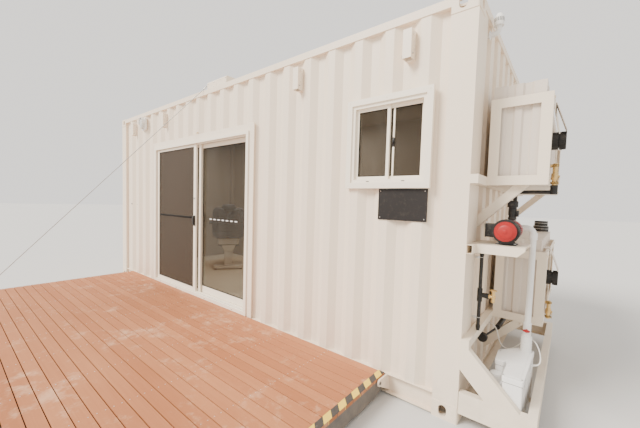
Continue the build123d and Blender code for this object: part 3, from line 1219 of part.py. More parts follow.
# Waste box: a body with a side arm and a notch between them, an overhanging lid, and an outlet
with BuildPart() as waste_box:
    coupling_in = WASTE_X - COUPLING_R - WASTE_LID_OVER
    plan = [(WASTE_BOX_IN, WASTE_BOX_NEAR), (WASTE_BOX_OUT, WASTE_BOX_NEAR),
            (WASTE_BOX_OUT + WASTE_BOX_SPREAD, WASTE_BOX_FAR), (coupling_in, WASTE_BOX_FAR),
            (WASTE_ARM_IN - WASTE_ARM_FLARE, WASTE_ARM_FAR), (WASTE_ARM_IN, WASTE_ARM_NEAR),
            (WASTE_BOX_IN - WASTE_NOTCH, WASTE_ARM_NEAR),
            (WASTE_BOX_IN, WASTE_ARM_NEAR + WASTE_NOTCH_DEEP)]
    corners = [(RIGHT + x, FRONT + y) for x, y in plan]
    seam = WASTE_BOX_TOP - WASTE_LID
    with BuildSketch(level_plane(WASTE_BOX_Z)) as body:
        with BuildLine():
            Polyline(*corners, close=True)
        make_face()
        fillet(body.vertices(), WASTE_BOX_ROUND)
    extrude(body.sketch, amount=seam - WASTE_BOX_Z)
    with BuildSketch(level_plane(seam)) as lid:
        with BuildLine():
            Polyline(*corners, close=True)
        make_face()
        fillet(lid.vertices(), WASTE_BOX_ROUND)
        offset(amount=WASTE_LID_OVER)
    extrude(lid.sketch, amount=WASTE_LID)
    fillet(waste_box.edges().group_by(Axis.Z)[-1], WASTE_LID_ROUND)
    outlet = (RIGHT + WASTE_BOX_IN - OUTLET_OUT, FRONT + OUTLET_DEPTH)
    add_rod((*outlet, OUTLET_LOW), (*outlet, OUTLET_LOW + OUTLET_HIGH), OUTLET_R)
    add_rod((*outlet, OUTLET_STUB_Z), (RIGHT + WASTE_BOX_IN + WASTE_BOX_ROUND, outlet[1], OUTLET_STUB_Z),
            OUTLET_STUB_R)
    cord_end = Vector(*rack_point(CORD_ROUTE[-1]))
    cord_way = (cord_end - Vector(*rack_point(CORD_ROUTE[-2]))).normalized()
    add_rod(tuple(cord_end), tuple(cord_end + cord_way * CORD_GLAND), CORD_GLAND_R)
save(waste_box, "waste_box")

# Black pipes: the lower tank's drain with its end cap, the feed pipe up the wall with its tee,
# and the upper tank's drain, which goes down into the pump head
with BuildPart() as black_pipes:
    cap = rack_point(DRAIN_CAP)
    bend = rack_point(DRAIN_BEND)
    end = rack_point(DRAIN_END)
    add_rod(cap, (cap[0], cap[1] + DRAIN_CAP_LONG, cap[2]), DRAIN_CAP_R)
    add_rod(cap, bend, DRAIN_THIN_R)
    add_rod(bend, end, DRAIN_THICK_R)
    add_rod(end, (end[0], end[1], LOWER_CAGE_Z), DRAIN_THICK_R)
    add_block((RIGHT - SHEET_INSET, cap[1] + DRAIN_CAP_LONG / 4, cap[2] - DRAIN_CLIP / 2),
              (cap[0], cap[1] + DRAIN_CAP_LONG * 3 / 4, cap[2] + DRAIN_CLIP / 2))
    feed = rack_point((FEED_X, FEED_DEPTH, FEED_TEE_Z))
    add_rod((feed[0], feed[1], LOWER_BEAM_Z + BEAM_HIGH), (feed[0], feed[1], SHELF_LOW), FEED_R)
    add_rod((feed[0], feed[1], feed[2] - FEED_TEE / 2), (feed[0], feed[1], feed[2] + FEED_TEE / 2),
            FEED_R + FEED_SOCKET)
    add_rod(feed, (feed[0] + FEED_TEE, feed[1], feed[2]), FEED_R + FEED_SOCKET)
    x = RIGHT + CAGE_OUT + VALVE_OUT
    y = FRONT + UPPER_CAGE_DEPTH + VALVE_DEPTH
    z = UPPER_CAGE_Z - UPPER_DRAIN_DROP
    add_rod((x, y, z - VALVE_R), (x, y, UPPER_CAGE_Z + VALVE_LOW), FEED_R + 2 * FEED_SOCKET)
    with BuildLine() as suction:
        FilletPolyline((x, y, z), (PUMP_AT[0], y, z), (PUMP_AT[0], y, PUMP_Z),
                       (PUMP_AT[0], PUMP_HEAD_BACK, PUMP_Z), radius=SUCTION_BEND)
    with BuildSketch(Plane(origin=(x, y, z), z_dir=(-1, 0, 0))) as suction_round:
        Circle(SUCTION_R)
    sweep(suction_round.sketch, path=suction.line)
save(black_pipes, "black_pipes")

# Brass: a valve at each tank's foot and the tap on the feed pipe
with BuildPart() as brass_valves:
    for depth, base in TANKS:
        x = RIGHT + CAGE_OUT + VALVE_OUT
        y = FRONT + depth + VALVE_DEPTH
        low = base + VALVE_LOW
        add_rod((x, y, low), (x, y, low + VALVE_HIGH), VALVE_R)
        add_rod((x, y, low + VALVE_HIGH * 0.25), (x, y, low + VALVE_HIGH * 0.55), VALVE_R + VALVE_BODY)
        stem = low + VALVE_HIGH * 0.4
        add_rod((x, y, stem), (x + VALVE_R + VALVE_STEM, y, stem), VALVE_R / 2)
        add_rod((TANK_FACE, y, low + VALVE_HIGH - VALVE_R), (x, y, low + VALVE_HIGH - VALVE_R), VALVE_R * 0.8)
    tap = rack_point((FEED_X + FEED_TEE, FEED_DEPTH, FEED_TEE_Z))
    add_rod(tap, (tap[0] + TAP_LONG, tap[1], tap[2]), VALVE_R * 0.75)
    spout = tap[0] + TAP_LONG - VALVE_R
    add_rod((spout, tap[1], tap[2] - TAP_DROP), (spout, tap[1], tap[2] + TAP_LONG), VALVE_R * 0.8)
save(brass_valves, "brass_valves")

# Vent: a short pipe out of the wall with a cowl on top
with BuildPart() as vent_cowl:
    y = FRONT + VENT_DEPTH
    vent = RIGHT + VENT_OUT
    with BuildLine() as vent_route:
        FilletPolyline((RIGHT + RECESS_X, y, VENT_Z), (vent, y, VENT_Z), (vent, y, VENT_Z + VENT_RISE),
                       radius=VENT_BEND)
    with BuildSketch(Plane(origin=(RIGHT + RECESS_X, y, VENT_Z), z_dir=(1, 0, 0))) as vent_round:
        Circle(VENT_R)
    sweep(vent_round.sketch, path=vent_route.line)
    cowl = VENT_Z + COWL_LIFT
    with BuildSketch(front_plane(y)) as cowl_half:
        with BuildLine():
            Polyline((vent, cowl), (vent + COWL_R, cowl), (vent + COWL_R, cowl + COWL_SIDE),
                     (vent + COWL_R / 2, cowl + COWL_SHOULDER), (vent, cowl + COWL_TOP), close=True)
        make_face()
    revolve(cowl_half.sketch, axis=Axis((vent, y, 0), (0, 0, 1)))
save(vent_cowl, "vent_cowl")


def turn_radius(before, corner, after):
    """Arc radius at a corner of the cord's route, as large as its two runs allow."""
    first = Vector(*corner) - Vector(*before)
    second = Vector(*after) - Vector(*corner)
    half_turn = math.radians(first.get_angle(second)) / 2
    return 0.45 * min(first.length, second.length) / math.tan(half_turn)


# Power cord, from its gland on the end wall to its gland on the waste box
with BuildPart() as power_cord:
    route = [rack_point(place) for place in CORD_ROUTE]
    radii = [turn_radius(*route[i:i + 3]) for i in range(len(route) - 2)]
    with BuildLine() as cord_line:
        FilletPolyline(*route, radius=radii)
    with BuildSketch(Plane(origin=route[0], z_dir=Vector(*route[1]) - Vector(*route[0]))) as cord_round:
        Circle(CORD_R)
    cord_wire = cord_line.wires()[0]
    sweep(cord_round.sketch, path=cord_wire)
save(power_cord, "power_cord")
print("power cord: length", round(cord_wire.length), "volume ratio",
      round(power_cord.part.volume / (math.pi * CORD_R ** 2 * cord_wire.length), 4),
      "radii", [round(radius) for radius in radii])

CHAIR_PLACE = Plane(origin=(LEFT + CHAIR_X, FRONT + CHAIR_DEPTH, FLOOR_TOP)).rotated((0, 0, CHAIR_TURN))


def chair_level(z):
    """Level sketch plane of the chair: sketch x is towards its back and sketch y across it."""
    return Plane(CHAIR_PLACE.location * Plane(origin=(0, 0, z)).location)


def chair_upright(x, z, lean=0.0):
    """Upright sketch plane of the chair that leans backwards: sketch x is across it and y up it."""
    angle = math.radians(lean)
    local = Plane(origin=(x, 0, z), x_dir=(0, 1, 0), z_dir=(math.cos(angle), 0, -math.sin(angle)))
    return Plane(CHAIR_PLACE.location * local.location)


# Treatment chair: base on four feet, column, drawer box, seat, reclined back with two shoulders
# and a headrest between them, arms and leg rest
with BuildPart() as treatment_chair:
    with BuildSketch(chair_level(0)) as chair_feet:
        with GridLocations(CHAIR_BASE_LONG - 2 * CHAIR_FOOT_IN, CHAIR_BASE_WIDE - 2 * CHAIR_FOOT_IN, 2, 2):
            Circle(CHAIR_FOOT_R)
    extrude(chair_feet.sketch, amount=CHAIR_FOOT)
    with BuildSketch(chair_level(CHAIR_FOOT)) as chair_base:
        RectangleRounded(CHAIR_BASE_LONG, CHAIR_BASE_WIDE, CHAIR_BASE_ROUND)
    extrude(chair_base.sketch, amount=CHAIR_BASE_THICK)
    with BuildSketch(chair_level(CHAIR_FOOT + CHAIR_BASE_THICK)) as chair_column:
        RectangleRounded(CHAIR_COLUMN_LONG, CHAIR_COLUMN_WIDE, CHAIR_COLUMN_ROUND)
    extrude(chair_column.sketch, amount=CHAIR_LINK_Z - CHAIR_FOOT - CHAIR_BASE_THICK)
    with BuildSketch(chair_level(CHAIR_LINK_Z)) as link_foot:
        RectangleRounded(CHAIR_COLUMN_LONG, CHAIR_COLUMN_WIDE, CHAIR_COLUMN_ROUND)
    with BuildSketch(chair_level(CHAIR_BOX_Z)) as link_top:
        RectangleRounded(CHAIR_BOX_LONG - 2 * CHAIR_BOX_ROUND, CHAIR_LINK_WIDE, CHAIR_COLUMN_ROUND)
    loft([link_foot.sketch, link_top.sketch])
    with BuildSketch(chair_level(CHAIR_BOX_Z)) as chair_box:
        RectangleRounded(CHAIR_BOX_LONG, CHAIR_BOX_WIDE, CHAIR_BOX_ROUND)
    extrude(chair_box.sketch, amount=CHAIR_SEAT_Z - CHAIR_BOX_Z)
    with BuildSketch(chair_level(CHAIR_SEAT_Z)) as chair_seat:
        RectangleRounded(CHAIR_SEAT_LONG, CHAIR_SEAT_WIDE, CHAIR_SEAT_ROUND)
    extrude(chair_seat.sketch, amount=CHAIR_SEAT_THICK)
    fillet(treatment_chair.edges().group_by(Axis.Z)[-1], CHAIR_PAD_ROUND)
    back_plane = chair_upright(CHAIR_BACK_AT, CHAIR_SEAT_Z, CHAIR_BACK_LEAN)
    with BuildSketch(back_plane) as chair_back:
        with Locations((0, CHAIR_BACK_TALL / 2)):
            RectangleRounded(CHAIR_BACK_WIDE, CHAIR_BACK_TALL, CHAIR_BACK_ROUND)
        with Locations((0, CHAIR_BACK_TALL)):
            Ellipse(CHAIR_DIP_WIDE / 2, CHAIR_DIP_DEEP, mode=Mode.SUBTRACT)
        with Locations((0, CHAIR_BACK_TALL - CHAIR_DIP_DEEP / 2)):
            Rectangle(CHAIR_NECK, 2 * CHAIR_DIP_DEEP)
    extrude(chair_back.sketch, amount=CHAIR_BACK_THICK)
    with BuildSketch(back_plane) as chair_head:
        with Locations((0, CHAIR_BACK_TALL + CHAIR_HEAD_RISE)):
            RectangleRounded(CHAIR_HEAD_WIDE, CHAIR_HEAD_TALL, CHAIR_HEAD_ROUND)
    extrude(chair_head.sketch, amount=CHAIR_HEAD_THICK)
    with BuildSketch(chair_level(CHAIR_ARM_Z)) as chair_arms:
        with GridLocations(0, 2 * CHAIR_ARM_OUT, 1, 2):
            RectangleRounded(CHAIR_ARM_LONG, CHAIR_ARM_WIDE, CHAIR_ARM_WIDE / 3)
    extrude(chair_arms.sketch, amount=CHAIR_ARM_THICK)
    with BuildSketch(chair_level(CHAIR_SEAT_Z + CHAIR_PAD_ROUND)) as chair_posts:
        with GridLocations(0, CHAIR_SEAT_WIDE, 1, 2):
            Rectangle(CHAIR_ARM_POST, CHAIR_ARM_POST)
    extrude(chair_posts.sketch, amount=CHAIR_ARM_Z - CHAIR_SEAT_Z - CHAIR_PAD_ROUND)
    leg_plane = chair_upright((CHAIR_LEG_THICK - CHAIR_SEAT_LONG) / 2, CHAIR_SEAT_Z + CHAIR_SEAT_THICK / 2,
                              CHAIR_LEG_LEAN)
    with BuildSketch(leg_plane) as chair_leg:
        with Locations((0, -CHAIR_LEG_TALL / 2)):
            RectangleRounded(CHAIR_LEG_WIDE, CHAIR_LEG_TALL, CHAIR_PAD_ROUND)
    extrude(chair_leg.sketch, amount=-CHAIR_LEG_THICK)
save(treatment_chair, "treatment_chair")
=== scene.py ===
"""Looks of a container clinic: a steel box with a sliding door, a deck and a water service rack.

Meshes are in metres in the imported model's frame: +X runs along the long front to the right, +Y from
the deck into the box, and +Z up from the ground. Sizes in the classes are millimetres, from the box's
front left corner (wall) or its front right corner (rack), unless a line says otherwise.
"""

from __future__ import annotations

import json
import logging
import math
from dataclasses import dataclass
from enum import Enum
from typing import Any, Callable, ClassVar, Iterable, Iterator, Sequence, Union

import bmesh
import bpy
from mathutils import Matrix, Vector
from mathutils.bvhtree import BVHTree

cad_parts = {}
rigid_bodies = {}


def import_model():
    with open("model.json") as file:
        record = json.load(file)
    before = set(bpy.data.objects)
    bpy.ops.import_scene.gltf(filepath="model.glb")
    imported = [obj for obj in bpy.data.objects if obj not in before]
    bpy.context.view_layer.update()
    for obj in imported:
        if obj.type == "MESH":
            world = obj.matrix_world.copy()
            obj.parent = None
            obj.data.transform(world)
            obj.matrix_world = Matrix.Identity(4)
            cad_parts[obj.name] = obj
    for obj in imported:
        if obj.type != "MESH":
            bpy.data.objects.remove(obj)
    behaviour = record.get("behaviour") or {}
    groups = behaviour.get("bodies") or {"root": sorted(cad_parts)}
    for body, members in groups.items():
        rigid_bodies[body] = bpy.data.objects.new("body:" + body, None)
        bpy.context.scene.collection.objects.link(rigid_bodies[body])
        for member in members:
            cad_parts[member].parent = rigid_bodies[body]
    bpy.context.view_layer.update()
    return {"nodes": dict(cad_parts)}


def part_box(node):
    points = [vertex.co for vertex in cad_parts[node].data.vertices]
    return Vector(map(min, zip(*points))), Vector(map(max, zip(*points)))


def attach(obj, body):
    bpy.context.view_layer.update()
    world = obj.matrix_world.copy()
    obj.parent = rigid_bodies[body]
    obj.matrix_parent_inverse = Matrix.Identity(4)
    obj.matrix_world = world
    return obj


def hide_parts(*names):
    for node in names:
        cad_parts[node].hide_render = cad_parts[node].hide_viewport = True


log = logging.getLogger("container_clinic")

Triple = Sequence[float]
Profile = Sequence[tuple[float, float]]
Spot = tuple[Triple, Triple, Triple]
MM = 0.001
SHARP = 0.6
RIGHT, FRONT, BACK, UP = (1.0, 0.0, 0.0), (0.0, -1.0, 0.0), (0.0, 1.0, 0.0), (0.0, 0.0, 1.0)


def add_node(tree: bpy.types.NodeTree, kind: str, settings: dict[str, Any],
             inputs: dict[Any, Any]) -> bpy.types.Node:
    """Adds a node to a tree: settings first, then links and plain values.

    Args:
        tree: shader or geometry tree.
        kind: node's type.
        settings: properties of the node.
        inputs: socket name or number to a socket, a number, a colour or a vector.

    Returns:
        The node.
    """
    node = tree.nodes.new(kind)
    for key, setting in settings.items():
        setattr(node, key, setting)
    for key, term in inputs.items():
        socket = node.inputs[key]
        if isinstance(term, bpy.types.NodeSocket):
            tree.links.new(term, socket)
        elif socket.type == "RGBA":
            socket.default_value = (*tuple(term)[:3], 1.0)
        else:
            socket.default_value = term
    return node


# Shader expressions


class Value:
    """Output socket of a number, a colour or a vector, with operators that add nodes."""

    def __init__(self, graph: "Graph", socket: bpy.types.NodeSocket) -> None:
        """Keeps the socket and the graph that it belongs to."""
        self.graph = graph
        self.socket = socket

    def _math(self, operation: str, *terms: "Term") -> "Value":
        """Result of one Math node with these terms as its inputs."""
        return self.graph.node("ShaderNodeMath", {"operation": operation}, dict(enumerate(terms)))

    def __add__(self, other: "Term") -> "Value":
        """Sum."""
        return self._math("ADD", self, other)

    __radd__ = __add__

    def __sub__(self, other: "Term") -> "Value":
        """Difference."""
        return self._math("SUBTRACT", self, other)

    def __mul__(self, other: "Term") -> "Value":
        """Product."""
        return self._math("MULTIPLY", self, other)

    def __truediv__(self, other: "Term") -> "Value":
        """Quotient."""
        return self._math("DIVIDE", self, other)

    def floor(self) -> "Value":
        """Whole part."""
        return self._math("FLOOR", self)

    def fraction(self) -> "Value":
        """Part after the point."""
        return self._math("FRACT", self)

    def wave(self) -> "Value":
        """Sine of an angle in radians, without its sign."""
        return self._math("ABSOLUTE", self._math("SINE", self))

    def most(self, other: "Term") -> "Value":
        """Greater of two values."""
        return self._math("MAXIMUM", self, other)

    def ramp(self, low: float, high: float, start: float = 0.0, end: float = 1.0) -> "Value":
        """Smooth step from start, at low and below, to end, at high and above."""
        settings = {"interpolation_type": "SMOOTHSTEP"}
        return self.graph.node("ShaderNodeMapRange", settings, {0: self, 1: low, 2: high, 3: start, 4: end})

    def axis(self, name: str) -> "Value":
        """One coordinate of a vector, by its name X, Y or Z."""
        return self.graph.node("ShaderNodeSeparateXYZ", {}, {0: self}, name)


Term = Union[Value, float]


class Graph:
    """Material's node graph, filled by expressions."""

    def __init__(self, name: str) -> None:
        """Starts an empty material of this name, with its output node.

        Args:
            name: material's name.
        """
        self.material = bpy.data.materials.new(name)
        self.material.use_nodes = True
        self.tree = self.material.node_tree
        self.tree.nodes.clear()
        self.output = self.tree.nodes.new("ShaderNodeOutputMaterial")

    def node(self, kind: str, settings: dict[str, Any], inputs: dict[Any, Any], result: Any = 0) -> Value:
        """Any node's output, by name or number; its inputs may be values."""
        plain = {key: getattr(term, "socket", term) for key, term in inputs.items()}
        return Value(self, add_node(self.tree, kind, settings, plain).outputs[result])

    def place(self) -> Value:
        """Place on the object, in metres."""
        return self.node("ShaderNodeTexCoord", {}, {}, "Object")

    def scaled(self, place: Value, scale: Triple) -> Value:
        """Place stretched by a scale along each axis."""
        return self.node("ShaderNodeMapping", {}, {"Vector": place, "Scale": scale})

    def noise(self, place: Value, scale: float, detail: float = 2.0, rough: float = 0.5) -> Value:
        """Cloud noise from 0 to 1, with scale clouds a metre, octaves of detail and their strength."""
        inputs = {"Vector": place, "Scale": scale, "Detail": detail, "Roughness": rough}
        return self.node("ShaderNodeTexNoise", {}, inputs)

    def cells(self, place: Value, scale: float) -> Value:
        """Distance to the nearest of scattered points, which lie scale to a metre."""
        return self.node("ShaderNodeTexVoronoi", {}, {"Vector": place, "Scale": scale}, "Distance")

    def random(self, seed: Value) -> Value:
        """Random number from 0 to 1, the same wherever the seed is the same."""
        return self.node("ShaderNodeTexWhiteNoise", {"noise_dimensions": "1D"}, {"W": seed}, "Value")

    def blend(self, share: Term, first: Any, second: Any) -> Value:
        """Colour between the first one, where the share is 0, and the second, where it is 1."""
        settings = {"data_type": "RGBA", "blend_type": "MIX"}
        return self.node("ShaderNodeMix", settings, {0: share, 6: first, 7: second}, 2)

    def bump(self, height: Value, depth: float, strength: float) -> Value:
        """Surface normal from a height, with its full depth in metres."""
        return self.node("ShaderNodeBump", {}, {"Height": height, "Distance": depth, "Strength": strength})

    def surface(self, colour: Any, rough: Any, normal: Value | None = None, **constants: float) -> None:
        """Links the surface shader to the material's output.

        Args:
            colour: base colour.
            rough: roughness.
            normal: bump's result.
            constants: other inputs by name, with _ for a space.
        """
        inputs: dict[Any, Any] = {"Base Color": colour, "Roughness": rough}
        if normal is not None:
            inputs["Normal"] = normal
        inputs.update({name.replace("_", " "): constant for name, constant in constants.items()})
        shader = self.node("ShaderNodeBsdfPrincipled", {}, inputs)
        self.tree.links.new(shader.socket, self.output.inputs["Surface"])


def shade(colour: Triple, share: float, lift: float = 0.0) -> tuple[float, ...]:
    """Colour times a share, lifted by a little."""
    return tuple(share * part + lift for part in colour)


# Finishes


@dataclass(frozen=True)
class Finish:
    """Named finish that is made into a material once."""

    name: str
    made: ClassVar[dict[str, bpy.types.Material]] = {}

    def material(self) -> bpy.types.Material:
        """Material of this finish, made on first use."""
        if self.name not in Finish.made:
            graph = Graph(self.name)
            self.build(graph)
            Finish.made[self.name] = graph.material
        return Finish.made[self.name]

    def build(self, graph: Graph) -> None:
        """Fills the graph; each finish has its own."""
        raise NotImplementedError


@dataclass(frozen=True)
class SteelPaint(Finish):
    """Brushed and sprayed gloss paint on steel, with rain streaks, splashes and specks of rust."""

    colour: Triple = (0.889, 0.758, 0.608)
    rough: float = 0.38
    streaks: float = 0.07
    splash_top: float = 0.55
    splash: float = 0.35
    rust: float = 0.5

    def build(self, graph: Graph) -> None:
        """Fills the graph with paint, streaks, splash and rust.

        Args:
            graph: graph of the finish's material.
        """
        place = graph.place()
        height = place.axis("Z")
        cloud = graph.noise(place, 1.3, 4.0, 0.6)
        run = graph.noise(graph.scaled(place, (9.0, 9.0, 0.5)), 1.0, 4.0, 0.65)
        fine = graph.noise(place, 60.0, 3.0, 0.6)
        grey = shade(self.colour, 0.62)
        tone = graph.blend((cloud - 0.35) * 0.22, self.colour, shade(self.colour, 0.86))
        tone = graph.blend(run.ramp(0.52, 0.80) * self.streaks * 3.0, tone, grey)
        low = height.ramp(0.0, self.splash_top, 1.0, 0.0)
        mud = low * (0.35 + graph.noise(place, 7.0, 5.0, 0.7)).ramp(0.55, 1.15) * self.splash
        tone = graph.blend(mud, tone, (0.42, 0.33, 0.25))
        specks = graph.noise(place, 38.0, 4.0, 0.75).ramp(0.70, 0.78)
        specks = specks * graph.noise(place, 2.2, 2.0).ramp(0.50, 0.68) * self.rust
        tone = graph.blend(specks, tone, (0.33, 0.14, 0.06))
        rough = self.rough + fine * 0.14 + mud * 0.4 + specks * 0.3
        peel = graph.noise(place, 220.0, 2.0)
        normal = graph.bump(peel * 0.5 + fine, 0.0004, 0.35)
        graph.surface(tone, rough, normal, Specular_IOR_Level=0.45)


@dataclass(frozen=True)
class DeckBoards(Finish):
    """Reddish composite boards with a fine reeded grain along X, each in its own tone."""

    front: float = 0.0
    pitch: float = 0.09
    colour: Triple = (0.37, 0.134, 0.052)
    pale: Triple = (0.52, 0.222, 0.103)

    def build(self, graph: Graph) -> None:
        """Fills the graph with the boards' tones, grain and dust.

        Args:
            graph: graph of the finish's material.
        """
        place = graph.place()
        across = (place.axis("Y") - self.front) / self.pitch
        board = across.floor()
        tone = graph.random(board)
        long_grain = graph.noise(graph.scaled(place, (1.6, 70.0, 70.0)), 1.0, 5.0, 0.7)
        cloud = graph.noise(graph.scaled(place, (0.8, 2.5, 1.0)), 1.0, 4.0, 0.6)
        share = (tone * 0.34 + long_grain * 0.5 + cloud * 0.7 - 0.38)
        colour = graph.blend(share.ramp(0.0, 1.0), self.colour, self.pale)
        dust = graph.noise(place, 3.0, 5.0, 0.75).ramp(0.53, 0.72) * 0.6
        colour = graph.blend(dust, colour, (0.68, 0.43, 0.28))
        rough = 0.62 + long_grain * 0.2 + dust * 0.15
        normal = graph.bump(long_grain, 0.0006, 0.6)
        graph.surface(colour, rough, normal, Specular_IOR_Level=0.3)


@dataclass(frozen=True)
class HazardBands(Finish):
    """Slanting black and yellow bands, worn by feet."""

    pitch: float = 0.16

    def build(self, graph: Graph) -> None:
        """Fills the graph with the bands and their wear.

        Args:
            graph: graph of the finish's material.
        """
        place = graph.place()
        slant = (place.axis("X") + place.axis("Y") + place.axis("Z")) / self.pitch
        band = slant.fraction().ramp(0.49, 0.51)
        wear = graph.noise(place, 26.0, 5.0, 0.7).ramp(0.60, 0.74)
        colour = graph.blend(band, (0.80, 0.56, 0.06), (0.030, 0.030, 0.030))
        colour = graph.blend(wear * 0.6, colour, (0.36, 0.30, 0.24))
        normal = graph.bump(graph.noise(place, 300.0), 0.0003, 0.4)
        graph.surface(colour, 0.42 + wear * 0.3, normal)


@dataclass(frozen=True)
class ClearPane(Finish):
    """Float glass, seen through and faintly dirty, with a dark tint that is a painted reflection of dark trees."""

    # Painted reflection: the dark tint stands for the dark trees that the panes reflect.
    dark_reflection_tint: Triple = (0.045, 0.034, 0.022)
    body: float = 0.42

    def build(self, graph: Graph) -> None:
        """Fills the graph with the painted dark reflection and dust.

        Args:
            graph: graph of the finish's material.
        """
        place = graph.place()
        dust = graph.noise(graph.scaled(place, (2.0, 2.0, 1.0)), 2.0, 5.0, 0.7).ramp(0.45, 0.85)
        low = place.axis("Z").ramp(0.2, 0.9, 1.0, 0.0)
        haze = dust * (0.05 + low * 0.10)
        colour = graph.blend(haze * 2.0, self.dark_reflection_tint, (0.45, 0.42, 0.38))
        graph.surface(colour, 0.03 + haze * 0.8, None, Alpha=self.body, Specular_IOR_Level=0.3, IOR=1.5)


@dataclass(frozen=True)
class InsectMesh(Finish):
    """Fine woven insect screen, grey and half seen through."""

    thread: float = 0.0018

    def build(self, graph: Graph) -> None:
        """Fills the graph with a weave and its sheen.

        Args:
            graph: graph of the finish's material.
        """
        place = graph.place()
        turn = 2.0 * math.pi / self.thread
        weave = (place.axis("X") * turn).wave().most((place.axis("Z") * turn).wave())
        cloud = graph.noise(place, 1.5, 3.0)
        colour = graph.blend(cloud * 0.5 + weave * 0.2, (0.050, 0.036, 0.024), (0.085, 0.062, 0.043))
        graph.surface(colour, 0.7, graph.bump(weave, 0.0004, 0.5), Alpha=0.78, Specular_IOR_Level=0.3)


@dataclass(frozen=True)
class Plastic(Finish):
    """Moulded plastic with a fine grain, faded in patches."""

    colour: Triple = (0.80, 0.78, 0.74)
    rough: float = 0.35
    grime: float = 0.15
    shine: float = 0.3

    def build(self, graph: Graph) -> None:
        """Fills the graph with the moulded surface.

        Args:
            graph: graph of the finish's material.
        """
        place = graph.place()
        cloud = graph.noise(place, 6.0, 4.0, 0.6)
        fine = graph.noise(place, 400.0, 2.0)
        dirt = graph.noise(place, 22.0, 5.0, 0.7).ramp(0.5, 0.8) * self.grime
        colour = graph.blend(cloud * 0.25, self.colour, shade(self.colour, 0.80, 0.02))
        colour = graph.blend(dirt, colour, (0.33, 0.27, 0.21))
        graph.surface(colour, self.rough + cloud * 0.15 + dirt * 0.4, graph.bump(fine, 0.0002, 0.3),
                      Specular_IOR_Level=self.shine)


@dataclass(frozen=True)
class Metal(Finish):
    """Bare metal with fine scratches and dull patches."""

    colour: Triple = (0.62, 0.61, 0.59)
    rough: float = 0.32
    dull: float = 0.3
    dull_colour: Triple = (0.30, 0.27, 0.23)

    def build(self, graph: Graph) -> None:
        """Fills the graph with the metal and its tarnish.

        Args:
            graph: graph of the finish's material.
        """
        place = graph.place()
        patches = graph.noise(place, 30.0, 5.0, 0.7).ramp(0.42, 0.72) * self.dull
        scratch = graph.noise(graph.scaled(place, (40.0, 40.0, 600.0)), 1.0, 3.0)
        colour = graph.blend(patches, self.colour, self.dull_colour)
        normal = graph.bump(scratch, 0.0002, 0.25)
        graph.surface(colour, self.rough + patches * 0.4 + scratch * 0.1, normal, Metallic=1.0)


@dataclass(frozen=True)
class Leather(Finish):
    """Coated upholstery with a pebbled grain."""

    colour: Triple = (0.010, 0.014, 0.020)

    def build(self, graph: Graph) -> None:
        """Fills the graph with grain and creases.

        Args:
            graph: graph of the finish's material.
        """
        place = graph.place()
        pebble = graph.cells(place, 420.0)
        crease = graph.noise(place, 14.0, 5.0, 0.7)
        colour = graph.blend(crease * 0.4, self.colour, shade(self.colour, 1.7))
        normal = graph.bump(pebble * 0.7 + crease, 0.0006, 0.5)
        graph.surface(colour, 0.42 + crease * 0.15, normal)


@dataclass(frozen=True)
class Panel(Finish):
    """Inner sheet or vinyl with a soft mottle."""

    colour: Triple = (0.80, 0.79, 0.76)
    rough: float = 0.5
    mottle: float = 0.1

    def build(self, graph: Graph) -> None:
        """Fills the graph with the mottled sheet.

        Args:
            graph: graph of the finish's material.
        """
        place = graph.place()
        cloud = graph.noise(place, 2.0, 4.0, 0.6)
        fleck = graph.noise(place, 160.0, 3.0, 0.7)
        colour = graph.blend((cloud + fleck) * 0.5 * self.mottle * 2.0, self.colour,
                             shade(self.colour, 0.7))
        graph.surface(colour, self.rough + fleck * 0.1, graph.bump(fleck, 0.0002, 0.3))


BOX_PAINT = SteelPaint("box_paint")
TRIM_PAINT = SteelPaint("trim_paint", colour=(0.919, 0.798, 0.65), rough=0.30, streaks=0.03, rust=0.15)
FRAME_PAINT = SteelPaint("door_powder_coat", colour=(0.939, 0.847, 0.705), rough=0.28, streaks=0.02,
                         splash=0.15, rust=0.0)
RACK_PAINT = SteelPaint("rack_paint", colour=(0.858, 0.744, 0.595), rough=0.36, streaks=0.05, rust=0.8)
ROOF_PAINT = SteelPaint("roof_paint", colour=(0.83, 0.75, 0.66), rough=0.45, streaks=0.10, rust=0.6)
UNDERFRAME = SteelPaint("underframe_paint", colour=(0.10, 0.095, 0.09), rough=0.6, streaks=0.0, rust=1.0)
TANK_SKIN = SteelPaint("tank_skin", colour=(0.72, 0.63, 0.54), rough=0.42, streaks=0.08, rust=0.1)
RED_PAINT = SteelPaint("pump_red", colour=(0.36, 0.010, 0.010), rough=0.35, streaks=0.0, splash=0.0, rust=0.1)
MOTOR_PAINT = SteelPaint("motor_paint", colour=(0.045, 0.047, 0.052), rough=0.42, streaks=0.0, splash=0.0, rust=0.3)
GLASS = ClearPane("pane_glass")
MESH = InsectMesh("insect_mesh")
WHITE_PLASTIC = Plastic("white_plastic", colour=(0.86, 0.85, 0.82), rough=0.28)
LENS_GLASS = Plastic("lens_glass", colour=(0.72, 0.71, 0.66), rough=0.12, grime=0.05)
MARK_FILM = Plastic("mark_film", colour=(0.88, 0.88, 0.86), rough=0.5, grime=0.05)
BOX_PLASTIC = Plastic("waste_box_plastic", colour=(0.88, 0.87, 0.85), rough=0.22, grime=0.05)
CORD_PLASTIC = Plastic("cord_plastic", colour=(0.83, 0.80, 0.74), rough=0.40)
BLACK_PLASTIC = Plastic("black_plastic", colour=(0.022, 0.021, 0.020), rough=0.38, grime=0.2)
RUBBER = Plastic("seal_rubber", colour=(0.012, 0.012, 0.012), rough=0.62, grime=0.15, shine=0.08)
CHAIR_SHELL = Plastic("chair_shell", colour=(0.74, 0.65, 0.52), rough=0.40, grime=0.1)
CHAIR_BASE = Plastic("chair_base", colour=(0.78, 0.72, 0.62), rough=0.38, grime=0.1)
BOARD_BLACK = Plastic("board_black", colour=(0.016, 0.013, 0.012), rough=0.35, grime=0.1)
